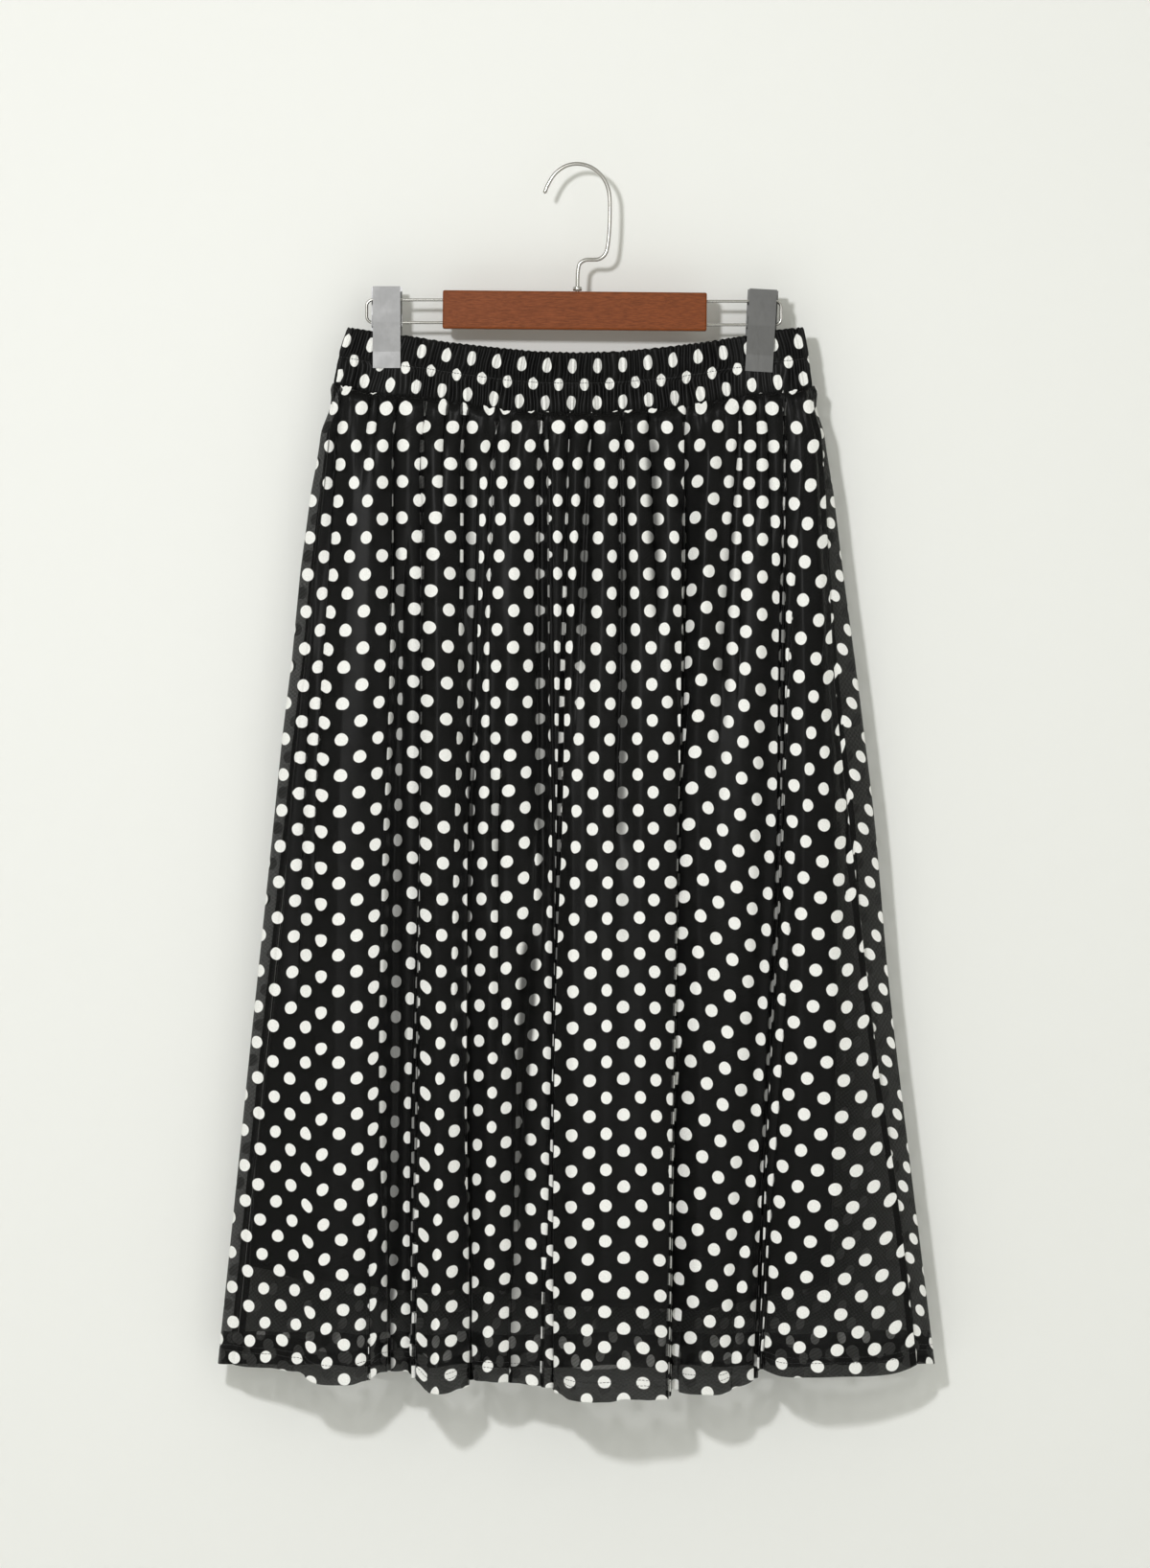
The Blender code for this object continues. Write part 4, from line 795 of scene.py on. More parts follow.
def lining_grid(front, rows, columns):
    """A plain panel inside the skirt with soft waves, its side seams on its side folds."""
    column, sign = (1, -1.0) if front else (2, 1.0)
    share = np.concatenate([np.linspace(0.0, 0.08, 8)[:-1], np.linspace(0.08, 1.0, rows)])
    turn = np.linspace(0.0, 1.0, columns + 1)
    across = turn - np.sin(2 * math.pi * turn) * 0.085
    edge_x = np.interp(across, (0, 1), LINING_FOOT)
    if front:
        low = table(LINING_EDGE, 1, edge_x)
    else:
        low = LINING_BACK_Z + 12.0 * (1.0 - smooth((edge_x + 259.0) / 50.0))
    top_x = np.interp(across, (0, 1), LINING_TOP)
    grid = []
    for level in share:
        z = seam_z(top_x) + (low - seam_z(top_x)) * level
        left, right = table(LINING_SIDES, 1, z), table(LINING_SIDES, 2, z)
        x = left + (right - left) * across
        inside = np.minimum(x - left, right - x)
        full = table(LINING_DEPTH, column, z)
        for waves, phase, waist, lower in LINING_WAVES:
            depth = waist + (lower - waist) * level
            full = full + depth * np.sin(2 * math.pi * waves * across + phase) * smooth(inside / 30.0)
        reach = np.clip(inside / 4.0, 0.0, 1.0)
        full = np.minimum(full, LINING_SIDE + inside * LINING_SLOPE)
        y = sign * np.maximum(full, LINING_SIDE * 0.8) * np.sqrt(1.0 - (1.0 - reach) ** 2)
        y = y + sign * GAP / 2 * (reach <= 0)
        line = np.column_stack([x, y, z])
        grid.append(line[::-1] if front else line)
    grid = blend_to_band(np.array(grid), LINING_INSET, share, *LINING_TOP, 2.0, LINING_SIDE_INSET)
    grid[:, 0, 1] = grid[:, -1, 1] = sign * GAP / 2
    step = length_of(np.diff(grid, axis=1))
    u = np.concatenate([np.zeros((len(grid), 1)), np.cumsum(step, axis=1)], axis=1)
    return np.concatenate([grid, u[..., None], -grid[..., 2:]], axis=2)


def sweep(path, radii, sides):
    """Rings round a path, without twist; radii is a number or one for each point."""
    path = np.array(path, float)
    radii = np.broadcast_to(np.asarray(radii, float), len(path))
    along = np.gradient(path, axis=0)
    along /= length_of(along)[:, None]
    aside = np.cross(along[0], (0.0, 1.0, 0.0))
    if length_of(aside) < 0.1:
        aside = np.cross(along[0], (1.0, 0.0, 0.0))
    rings = []
    turn = np.arange(sides) * 2 * math.pi / sides
    for point, direction, radius in zip(path, along, radii):
        aside = aside - direction * np.dot(aside, direction)
        aside /= length_of(aside)
        other = np.cross(direction, aside)
        rings.append(point + radius * (np.cos(turn)[:, None] * aside + np.sin(turn)[:, None] * other))
    return np.array(rings)


def loop_path(end_x, upper, lower, radius):
    """The wire of one side loop, from inside the bar out, round its end and back."""
    out = math.copysign(1.0, end_x)
    inner_x = BAR_X + out * (BAR_LENGTH / 2 - WIRE_IN_BAR)
    centre_x = end_x - out * (radius + LOOP_CORNER)
    path = [(x, upper) for x in np.linspace(inner_x, centre_x, 12)[:-1]]
    corner = np.linspace(0.0, math.pi / 2, 12)
    for z, sign, turns in ((upper, -1, corner), (lower, 1, corner[::-1])):
        for turn in turns:
            x = centre_x + out * LOOP_CORNER * math.sin(turn)
            path.append((x, z + sign * LOOP_CORNER * (1 - math.cos(turn))))
    path += [(x, lower) for x in np.linspace(centre_x, inner_x, 12)[1:]]
    return [(x, 0.0, z) for x, z in path]


# Meshes


def mesh_of(name, points, faces, material, corners=None):
    """One object from points in millimetres; corners are each face corner's place on the cloth, in metres."""
    mesh = bpy.data.meshes.new(name)
    faces = np.asarray(faces, np.int32)
    size = faces.shape[1]
    mesh.vertices.add(len(points))
    mesh.vertices.foreach_set("co", (np.asarray(points, float) * MM).astype(np.float32).ravel())
    mesh.loops.add(faces.size)
    mesh.loops.foreach_set("vertex_index", faces.ravel())
    mesh.polygons.add(len(faces))
    mesh.polygons.foreach_set("loop_start", np.arange(0, faces.size, size, dtype=np.int32))
    mesh.update(calc_edges=True)
    mesh.validate()
    mesh.shade_smooth()
    if corners is not None:
        layer = mesh.uv_layers.new(name="cloth")
        layer.data.foreach_set("uv", np.asarray(corners, np.float32).ravel())
    mesh.materials.append(material)
    obj = bpy.data.objects.new(name, mesh)
    bpy.context.scene.collection.objects.link(obj)
    return obj


def painted_fold_shade(grid, reach, shallow, deep):
    """How low each point of a sheet lies between crests, used as painted shade for its hollows: 0 up to
    shallow mm, and 1 from deep mm on.
    """
    outward = np.abs(grid[..., 1])
    left, right = outward.copy(), outward.copy()
    full_at = 22.0
    for step in range(1, reach + 1):
        left[:, step:] = np.maximum(left[:, step:], outward[:, :-step])
        right[:, :-step] = np.maximum(right[:, :-step], outward[:, step:])
    low = np.minimum(left, right) - outward
    return smooth((low - shallow) / (deep - shallow)) * smooth(outward / full_at)


def grid_mesh(name, grid, material, wrap_columns=False, wrap_rows=False, depth=None):
    """A sheet from points (rows, columns, x y z u v). A wrapped grid ends with its first column or row."""
    rows, columns = grid.shape[:2]
    real_rows = rows - 1 if wrap_rows else rows
    real_columns = columns - 1 if wrap_columns else columns
    row, column = np.meshgrid(np.arange(rows - 1), np.arange(columns - 1), indexing="ij")
    square = [(row, column), (row, column + 1), (row + 1, column + 1), (row + 1, column)]
    corner = [(r % real_rows) * real_columns + (c % real_columns) for r, c in square]
    faces = np.stack([c.ravel() for c in corner], axis=1)
    cloth = None
    if grid.shape[2] > 3:
        cloth = np.stack([grid[r, c, 3:5] for r, c in square], axis=2).reshape(-1, 2) * MM
    points = grid[:real_rows, :real_columns, :3].reshape(-1, 3)
    made = mesh_of(name, points, faces, material, cloth)
    # The depth given here is the amount of painted shade for the folds, kept on each point.
    if depth is not None:
        layer = made.data.attributes.new("painted_fold_shade", "FLOAT", "POINT")
        layer.data.foreach_set("value", depth[:real_rows, :real_columns].astype(np.float32).ravel())
    return made


def tube_mesh(name, path, radii, sides, material):
    """A round bar along a path with rounded-off closed ends."""
    rings = sweep(path, radii, sides)
    around = [(j, (j + 1) % sides) for j in range(sides)]
    last = (len(rings) - 1) * sides
    faces = [(a + j, a + sides + j, a + sides + k, a + k) for a in range(0, last, sides) for j, k in around]
    start, end = last + sides, last + sides + 1
    for j, k in around:
        faces += [(j, k, start), (last + k, last + j, end)]
    points = np.concatenate([*rings, [rings[0].mean(axis=0), rings[-1].mean(axis=0)]])
    return polygons(name, points, faces, material)


def lathe(name, profile, centre, material, sides):
    """A closed ring turned round an upright line through centre, from its outline's (radius, z) points."""
    around = [(math.cos(t), math.sin(t)) for t in np.arange(sides) * 2 * math.pi / sides]
    points = [(centre[0] + r * c, centre[1] + r * s, z) for r, z in profile for c, s in around]
    faces = []
    for i in range(len(profile)):
        a, b = i * sides, (i + 1) % len(profile) * sides
        faces += [(a + j, a + (j + 1) % sides, b + (j + 1) % sides, b + j) for j in range(sides)]
    return polygons(name, points, faces, material, 35)


def polygons(name, points, faces, material, smooth_angle=None):
    """One object from faces of any number of corners, in millimetres."""
    mesh = bpy.data.meshes.new(name)
    mesh.from_pydata((np.asarray(points, float) * MM).tolist(), [], faces)
    mesh.validate()
    mesh.update()
    mesh.materials.append(material)
    mesh.shade_smooth()
    if smooth_angle is not None:
        mesh.set_sharp_from_angle(angle=math.radians(smooth_angle))
    obj = bpy.data.objects.new(name, mesh)
    bpy.context.scene.collection.objects.link(obj)
    return obj


def stitch_run(line, normals, stitch, gap, radius, lift, seed):
    """Points and faces of a row of short stitches laid along a line on cloth."""
    along = distance_along(line)
    count = int(along[-1] // (stitch + gap))
    starts = np.arange(count) * (stitch + gap) + gap / 2
    points, faces = [], []
    ring = np.array([(1, 0), (0.3, 0.95), (-0.8, 0.6), (-0.8, -0.6), (0.3, -0.95)])
    shift = np.random.default_rng(seed).uniform(-0.12, 0.12, (count, 2))

    def reading(at, values):
        return np.array([np.interp(at, along, values[:, k]) for k in range(3)])

    for start, (slip, rise) in zip(starts, shift):
        base = len(points)
        for part, wide in ((0.0, 0.5), (0.2, 1.0), (0.8, 1.0), (1.0, 0.5)):
            at = start + slip + stitch * part
            here, out = reading(at, line), reading(at, normals)
            ahead = reading(at + 0.5, line) - here
            ahead /= max(length_of(ahead), 1e-9)
            side = np.cross(out, ahead)
            here = here + out * (lift - (0.25 if wide < 1 else 0.0)) + side * rise
            points.extend(here + radius * wide * (out * a + side * b) for a, b in ring)
        for i in range(3):
            for j in range(5):
                k = (j + 1) % 5
                a, b = base + i * 5, base + (i + 1) * 5
                faces.append((a + j, a + k, b + k, b + j))
        faces.append(tuple(base + j for j in range(5))[::-1])
        faces.append(tuple(base + 15 + j for j in range(5)))
    return points, faces


def stitches(name, runs, material):
    """One object from several rows of stitches."""
    points, faces = [], []
    for found_points, found_faces in runs:
        base = len(points)
        points.extend(found_points)
        faces.extend(tuple(base + v for v in face) for face in found_faces)
    return polygons(name, points, faces, material)


# Materials


class Tree:
    """Adds nodes to a material or a node group, and links them by name."""

    def __init__(self, tree):
        self.tree = tree

    def link(self, first, second):
        self.tree.links.new(first, second)

    def put(self, value, socket):
        """Links a socket's value from another socket, or sets it."""
        if isinstance(value, bpy.types.NodeSocket):
            self.link(value, socket)
        else:
            socket.default_value = value

    def node(self, kind, inputs=(), **settings):
        made = self.tree.nodes.new(kind)
        for key, value in settings.items():
            setattr(made, key, value)
        for key, value in dict(inputs).items():
            self.put(value, made.inputs[key])
        return made

    def math(self, operation, *values, clamp=False):
        made = self.node("ShaderNodeMath", enumerate(values), operation=operation, use_clamp=clamp)
        return made.outputs[0]

    def vector(self, operation, *values):
        inputs = dict(enumerate(values))
        if operation == "SCALE":
            inputs["Scale"] = inputs.pop(1)
        made = self.node("ShaderNodeVectorMath", inputs, operation=operation)
        return made.outputs["Value" if operation == "LENGTH" else "Vector"]

    def noise(self, place, scale, detail, roughness=0.5):
        inputs = {"Vector": place, "Scale": scale, "Detail": detail, "Roughness": roughness}
        return self.node("ShaderNodeTexNoise", inputs).outputs

    def ramp(self, value, low, high, to_low=0.0, to_high=1.0, kind="SMOOTHSTEP"):
        inputs = {"Value": value, "From Min": low, "From Max": high, "To Min": to_low, "To Max": to_high}
        return self.node("ShaderNodeMapRange", inputs, interpolation_type=kind).outputs["Result"]

    def mix(self, factor, first, second):
        made = self.node("ShaderNodeMix", data_type="RGBA")
        for key, kind, given in (("Factor", "VALUE", factor), ("A", "RGBA", first), ("B", "RGBA", second)):
            self.put(given, [s for s in made.inputs if s.name == key and s.type == kind][0])
        return [s for s in made.outputs if s.type == "RGBA"][0]

    def bump(self, shader, height, strength, distance):
        made = self.node("ShaderNodeBump", {"Height": height, "Strength": strength, "Distance": distance})
        self.link(made.outputs["Normal"], shader.inputs["Normal"])


def new_group(name, inputs, outputs):
    """A shader node group with inputs (name, default) and outputs (name, type), and its two end nodes."""
    group = bpy.data.node_groups.new(name, "ShaderNodeTree")
    for title, value in inputs:
        socket = group.interface.new_socket(name=title, in_out="INPUT", socket_type="NodeSocketFloat")
        socket.default_value = value
    for title, kind in outputs:
        group.interface.new_socket(name=title, in_out="OUTPUT", socket_type=kind)
    tree = Tree(group)
    given = group.nodes.new("NodeGroupInput").outputs
    result = group.nodes.new("NodeGroupOutput").inputs
    return group, tree, given, result


def dot_print_group():
    """White dots in a lattice with one more dot in the middle of each square."""
    group, tree, given, result = new_group(
        "dot_print",
        (("Pitch", 0.028), ("Radius", 0.0049), ("Softness", 0.00022)),
        (("Mask", "NodeSocketFloat"), ("Mottle", "NodeSocketFloat")),
    )
    uv = tree.node("ShaderNodeUVMap", uv_map="cloth").outputs["UV"]
    wobble = tree.noise(uv, 260.0, 1.0)["Color"]
    wobble = tree.vector("SCALE", tree.vector("SUBTRACT", wobble, (0.5, 0.5, 0.5)), 0.00035)
    place = tree.vector("ADD", uv, wobble)
    size = tree.node("ShaderNodeCombineXYZ", {"X": given["Pitch"], "Y": given["Pitch"], "Z": 1.0}).outputs[0]
    cell = tree.vector("DIVIDE", place, size)
    near = []
    for shift in ((0.5, 0.5, 0.0), (0.0, 0.0, 0.0)):
        part = tree.vector("FRACTION", tree.vector("ADD", cell, shift))
        part = tree.vector("SUBTRACT", part, (0.5, 0.5, 0.0))
        part = tree.vector("MULTIPLY", part, (1.0, 1.0, 0.0))
        near.append(tree.vector("LENGTH", part))
    distance = tree.math("MULTIPLY", tree.math("MINIMUM", *near), given["Pitch"])
    inner = tree.math("SUBTRACT", given["Radius"], given["Softness"])
    outer = tree.math("ADD", given["Radius"], given["Softness"])
    tree.link(tree.ramp(distance, inner, outer, 1.0, 0.0), result["Mask"])
    tree.link(tree.ramp(tree.noise(uv, 900.0, 3.0)["Fac"], 0.3, 0.75), result["Mottle"])
    return group


def knit_group():
    """The fine net of the cloth: a height, a shade for its threads, and the soft bands of crossing nets."""
    group, tree, given, result = new_group(
        "knit",
        (("Thread", 0.0009), ("Band", 0.0031), ("Lean", 0.75)),
        (("Height", "NodeSocketFloat"), ("Shade", "NodeSocketFloat"), ("Bands", "NodeSocketFloat")),
    )
    uv = tree.node("ShaderNodeUVMap", uv_map="cloth").outputs["UV"]
    parts = tree.node("ShaderNodeSeparateXYZ", {"Vector": uv}).outputs
    waves = []
    for axis in ("X", "Y"):
        turn = tree.math("MULTIPLY", tree.math("DIVIDE", parts[axis], given["Thread"]), 2 * math.pi)
        waves.append(tree.math("SINE", turn))
    net = tree.math("MULTIPLY_ADD", tree.math("MULTIPLY", *waves), 0.5, 0.5)
    tree.link(net, result["Height"])
    blotch = tree.noise(uv, 70.0, 4.0, 0.6)["Fac"]
    shade = tree.math("ADD", tree.math("MULTIPLY", net, 0.35), tree.math("MULTIPLY", blotch, 0.65))
    tree.link(shade, result["Shade"])
    drift = tree.math("SUBTRACT", tree.noise(uv, 16.0, 2.0)["Fac"], 0.5)
    drift = tree.math("MULTIPLY", drift, 9.0)
    slant = tree.math("MULTIPLY_ADD", parts["X"], given["Lean"], parts["Y"])
    turn = tree.math("MULTIPLY_ADD", tree.math("DIVIDE", slant, given["Band"]), 2 * math.pi, drift)
    bands = tree.math("MULTIPLY_ADD", tree.math("SINE", turn), 0.5, 0.5)
    tree.link(bands, result["Bands"])
    return group


def grain_group():
    """Wood grain that runs along X: stripes, pores and a height."""
    group, tree, given, result = new_group(
        "wood_grain",
        (("Stretch", 9.0), ("Rings", 1500.0), ("Pores", 900.0)),
        (("Tone", "NodeSocketFloat"), ("Pore", "NodeSocketFloat"), ("Height", "NodeSocketFloat")),
    )
    place = tree.node("ShaderNodeTexCoord").outputs["Object"]
    narrow = tree.math("DIVIDE", 1.0, given["Stretch"])
    narrow = tree.node("ShaderNodeCombineXYZ", {"X": narrow, "Y": 1.0, "Z": 1.0})
    along = tree.vector("MULTIPLY", place, narrow.outputs[0])
    bend = tree.noise(place, 9.0, 2.0)["Color"]
    bend = tree.vector("SCALE", tree.vector("SUBTRACT", bend, (0.5, 0.5, 0.5)), 0.004)
    along = tree.vector("ADD", along, bend)
    tone = tree.ramp(tree.noise(along, given["Rings"], 5.0, 0.65)["Fac"], 0.32, 0.68)
    pore = tree.ramp(tree.noise(along, given["Pores"], 8.0, 0.8)["Fac"], 0.36, 0.27)
    tree.link(tone, result["Tone"])
    tree.link(pore, result["Pore"])
    tree.link(tree.math("SUBTRACT", tree.math("MULTIPLY", tone, 0.4), pore), result["Height"])
    return group


def metal_group():
    """Fine brushing, smudges and worn spots on steel."""
    group, tree, given, result = new_group(
        "worn_metal",
        (("Brush", 1400.0), ("Smudge", 60.0)),
        (("Brushing", "NodeSocketFloat"), ("Smudges", "NodeSocketFloat"), ("Scratches", "NodeSocketFloat")),
    )
    place = tree.node("ShaderNodeTexCoord").outputs["Object"]
    fine = tree.vector("MULTIPLY", place, (1.0, 1.0, 0.03))
    long = tree.vector("MULTIPLY", place, (1.0, 1.0, 0.12))
    tree.link(tree.noise(fine, given["Brush"], 3.0)["Fac"], result["Brushing"])
    tree.link(tree.ramp(tree.noise(place, given["Smudge"], 5.0, 0.6)["Fac"], 0.35, 0.7), result["Smudges"])
    tree.link(tree.ramp(tree.noise(long, 520.0, 9.0, 0.85)["Fac"], 0.30, 0.24), result["Scratches"])
    return group


GROUPS = {
    "dot_print": dot_print_group,
    "knit": knit_group,
    "wood_grain": grain_group,
    "worn_metal": metal_group,
}


def group_in(tree, name, **values):
    """Places a shared group in a material with the material's own values."""
    group = bpy.data.node_groups.get(name) or GROUPS[name]()
    made = tree.node("ShaderNodeGroup")
    made.node_tree = group
    for key, value in values.items():
        made.inputs[key].default_value = value
    return made.outputs


def new_material(name, **sockets):
    """A material, its tree and its shader, with values for the shader's sockets."""
    material = bpy.data.materials.new(name)
    material.use_nodes = True
    shader = material.node_tree.nodes["Principled BSDF"]
    for key, value in sockets.items():
        shader.inputs[key.replace("_", " ")].default_value = value
    return material, Tree(material.node_tree), shader


def solid(colour):
    return (*colour[:3], 1.0)


def shade(colour, factor):
    return (*(c * factor for c in colour[:3]), 1.0)


def dotted_material(name, finish, sheer, dot_radius):
    """Printed net: black with white dots, see-through where it is sheer, duller inside, with painted shade in
    its folds.
    """
    found = bpy.data.materials.get(name)
    if found:
        return found
    sheen = {"Sheen_Weight": 0.04, "Sheen_Roughness": 0.35}
    material, tree, shader = new_material(name, IOR=1.4, Specular_IOR_Level=0.16, **sheen)
    dots = group_in(tree, "dot_print", Radius=dot_radius)
    knit = group_in(tree, "knit")
    black = tree.mix(knit["Shade"], shade(finish.cloth_black, 0.7), shade(finish.cloth_black, 1.4))
    white = tree.mix(dots["Mottle"], shade(finish.dot_white, 0.86), solid(finish.dot_white))
    inside = tree.node("ShaderNodeNewGeometry").outputs["Backfacing"]
    white = tree.mix(inside, white, shade(finish.dot_white, 0.30))
    # Painted shade: the colour goes towards black where a point lies low between crests.
    low = tree.node("ShaderNodeAttribute", attribute_name="painted_fold_shade").outputs["Fac"]
    print_colour = tree.mix(dots["Mask"], black, white)
    print_with_painted_shade = tree.mix(tree.math("MULTIPLY", low, 0.85), print_colour, solid((0.001, 0.001, 0.001)))
    tree.link(print_with_painted_shade, shader.inputs["Base Color"])
    tree.link(tree.ramp(dots["Mask"], 0.0, 1.0, 0.36, 0.8), shader.inputs["Roughness"])
    tree.bump(shader, knit["Height"], 0.25, 0.00012)
    if sheer < 1.0:
        plain = tree.ramp(knit["Bands"], 0.0, 1.0, sheer - 0.045, sheer + 0.045, kind="LINEAR")
        printed = tree.math("MAXIMUM", plain, tree.math("MULTIPLY", dots["Mask"], 0.975))
        tree.link(printed, shader.inputs["Alpha"])
    return material


def plain_cloth_material(name, colour, rough, sheen, scale):
    """Plain black cloth or thread with a weave of the given scale."""
    found = bpy.data.materials.get(name)
    if found:
        return found
    material, tree, shader = new_material(name, Sheen_Weight=sheen, Sheen_Roughness=0.4)
    knit = group_in(tree, "knit", Thread=scale)
    tree.link(tree.mix(knit["Shade"], shade(colour, 0.65), shade(colour, 1.4)), shader.inputs["Base Color"])
    tree.link(tree.ramp(knit["Shade"], 0.0, 1.0, rough - 0.08, rough + 0.08), shader.inputs["Roughness"])
    tree.bump(shader, knit["Height"], 0.3, 0.0001)
    return material


def thread_material(s):
    return plain_cloth_material("black_thread", s.finish.thread_black, 0.5, 0.2, 0.0004)


def edge_material(s):
    return plain_cloth_material("overlocked_edge", s.finish.lining_black, 0.8, 0.1, 0.0011)


def wood_material(finish):
    """Stained and thinly varnished wood."""
    coat = {"Coat_Weight": 0.03, "Coat_Roughness": 0.3}
    material, tree, shader = new_material("reddish_wood", Specular_IOR_Level=0.2, **coat)
    grain = group_in(tree, "wood_grain")
    tone = tree.mix(grain["Tone"], shade(finish.wood_brown, 0.68), shade(finish.wood_brown, 1.18))
    tree.link(tree.mix(grain["Pore"], tone, shade(finish.wood_brown, 0.35)), shader.inputs["Base Color"])
    tree.link(tree.ramp(grain["Tone"], 0.0, 1.0, 0.52, 0.40), shader.inputs["Roughness"])
    tree.bump(shader, grain["Height"], 0.35, 0.00018)
    return material


def metal_material(name, colour, rough, brushed):
    """Steel with smudges and scratches; brushed is how far its brushing changes the roughness."""
    found = bpy.data.materials.get(name)
    if found:
        return found
    material, tree, shader = new_material(name, Metallic=1.0)
    worn = group_in(tree, "worn_metal")
    base = tree.mix(worn["Smudges"], shade(colour, 0.9), shade(colour, 1.06))
    tree.link(tree.mix(worn["Scratches"], base, shade(colour, 1.35)), shader.inputs["Base Color"])
    spread = tree.math("MULTIPLY", tree.math("SUBTRACT", worn["Brushing"], 0.5), brushed)
    smudged = tree.ramp(worn["Smudges"], 0.0, 1.0, rough + 0.05, rough - 0.03)
    tree.link(tree.math("ADD", smudged, spread, clamp=True), shader.inputs["Roughness"])
    tree.bump(shader, worn["Brushing"], 0.12, 0.00004)
    return material


# Cloth pieces


def parted(grid, start, stop, cloth_end):
    """Columns start to stop of a closed grid, its two edges drawn in by half a seam's gap."""
    closed = np.concatenate([grid, grid[:, :1]], axis=1)
    closed[:, -1, 3] = cloth_end
    found = closed[:, start : stop + 1].copy()
    for edge, next_one in ((0, 1), (-1, -2)):
        along = found[:, next_one, :3] - found[:, edge, :3]
        found[:, edge, :3] += along / length_of(along)[:, None] * GAP / 2
    return found


def skirt_panels(sizes):
    """The front and back panels without their hems, made once for all the pieces that lie on them."""
    if "panels" not in MADE:
        share, grid, left_seam, cloth_end = skirt_grid(sizes)
        grid = add_gathers(share, grid, left_seam, sizes)
        count = grid.shape[1]
        MADE["panels"] = {
            "front": parted(grid, 0, left_seam, cloth_end),
            "back": parted(grid, left_seam, count, cloth_end),
        }
    return MADE["panels"]


def band_grid(sizes):
    """Rows of the ruched band, outside from its top edge to the seam and back up its inside."""
    count = sizes.gathers * sizes.gather_points
    share = [np.linspace(a, b, steps, endpoint=False) for a, b, steps in BAND_ROWS]
    share = np.concatenate([*share, [1.0]])
    lane = distance_along(closed_line(band_ring(0.5, 0.0, count)))
    period = lane[-1] / sizes.gathers
    settled = smooth(np.minimum(lane, lane[-1] - lane) / 25.0)
    rows = []
    for part in share:
        height = BAND_HEIGHT * part
        heights = height + 0 * lane
        lean = wander_sheet(61, lane, heights, 13.0, 15.0) * 0.30
        lower = smooth((part - 0.44) / 0.12)
        slip = wander(62, lane, 15.0) * 0.55 * (1 - lower) + wander(63, lane, 15.0) * 0.55 * lower
        phase = lane / period + (lean + slip) * settled
        puff = np.abs(np.sin(math.pi * phase)) ** 1.3
        uneven = 0.82 + 0.3 * wander_sheet(64, lane, heights, 6.5, 14.0) * settled
        ring = band_ring(part, 0.0, count)
        normal = closed_line(outward_round(ring[None])[0])
        ring = closed_line(ring)
        held = np.interp(table(BAND_DEPTH, 1, ring[:, 0]), (PINCHED, FREE), (0.45, 1.0))
        inset, gathered = table(BAND_OUTSIDE, 1, part), table(BAND_OUTSIDE, 2, part)
        deep = sizes.gather_depth * gathered * held * uneven
        swell = 0.35 * wander_sheet(65, lane, heights, 24.0, 22.0) * settled
        ring = ring + normal * (0.25 - inset - deep * (1 - puff) + swell * gathered)[:, None]
        z = band_z(ring[:, 0], part) + 1.4 * (puff - 0.6) * (1 - smooth(part / 0.07)) * held
        z -= 1.1 * wander(67, lane, 7.0) * settled * smooth((part - 0.82) / 0.18)
        u = sizes.fullness * (lane + 0.25 * period / (2 * math.pi) * np.sin(2 * math.pi * phase))
        v = table(BAND_PRINT, 1, height) + 0.5 * (1 - puff)
        rows.append(np.column_stack([ring, z, u, v]))
    down = rows[-1][:, 4].max()
    for part, inset in BAND_INSIDE:
        ring = closed_line(band_ring(part, inset, count))
        z = band_z(ring[:, 0], part)
        down += 3.0
        rows.append(np.column_stack([ring, z, sizes.fullness * lane, np.full_like(z, down)]))
    return np.array([*rows, rows[0]]), len(share)


def ribbon(panel, edge, width, inward, seed):
    """The seam allowance on the inside of a panel along one of its side edges."""
    rows = []
    for row in panel if edge == 0 else panel[:, ::-1]:
        along = distance_along(row[:, :2])
        fray = 0.25 * float(wander(seed, row[0, 2], 5.0))
        line = []
        for at in np.linspace(0.15, width + fray, 6):
            here = [np.interp(at, along, row[:, k]) for k in range(3)]
            ahead = [np.interp(at + 0.8, along, row[:, k]) for k in range(2)]
            direction = np.array(ahead) - here[:2]
            direction /= max(length_of(direction), 1e-9)
            if edge != 0:
                direction = -direction
            inside = np.array([direction[1], -direction[0]])
            line.append((here[0] + inside[0] * inward, here[1] + inside[1] * inward, here[2], at, -here[2]))
        rows.append(line)
    grid = np.array(rows)
    return grid if edge == 0 else grid[:, ::-1]


# Settings


def count_property(name, description, default, least):
    return bpy.props.IntProperty(name=name, description=description, default=default, min=least)


def size_property(name, description, default, least=0.0, **units):
    return bpy.props.FloatProperty(name=name, description=description, default=default, min=least, **units)


def colour_property(name, description, default):
    return bpy.props.FloatVectorProperty(
        name=name, description=description, default=default, size=3, min=0.0, max=1.0, subtype="COLOR"
    )


class SkirtSettings(bpy.types.PropertyGroup):
    """Sizes of the skirt's cloth."""

    rows: count_property("Rows", "Rows of cloth between waist and hem", 96, 20)
    column_width: size_property("Column width", "Widest step round sides and back in millimetres", 1.7, 0.5)
    thread: size_property("Thread step", "Step along the front's cloth in millimetres", 1.2, 0.4)
    edge_columns: count_property("Edge columns", "Columns in the flare at each side of the front", 74, 10)
    front_ruffle: size_property("Front ruffle", "Depth of the front's fine ripples, as a share", 0.9)
    back_ruffle: size_property("Back ruffle", "Depth of the back's fine ripples, as a share", 1.4)
    hem: size_property("Hem", "Depth of the turned hem in millimetres", 25.0, 5.0)
    dot_radius: size_property("Dot radius", "Radius of a dot", 0.0049, subtype="DISTANCE", unit="LENGTH")
    sheer: size_property("Cover", "How much the mesh hides", 0.71, max=1.0, subtype="FACTOR")


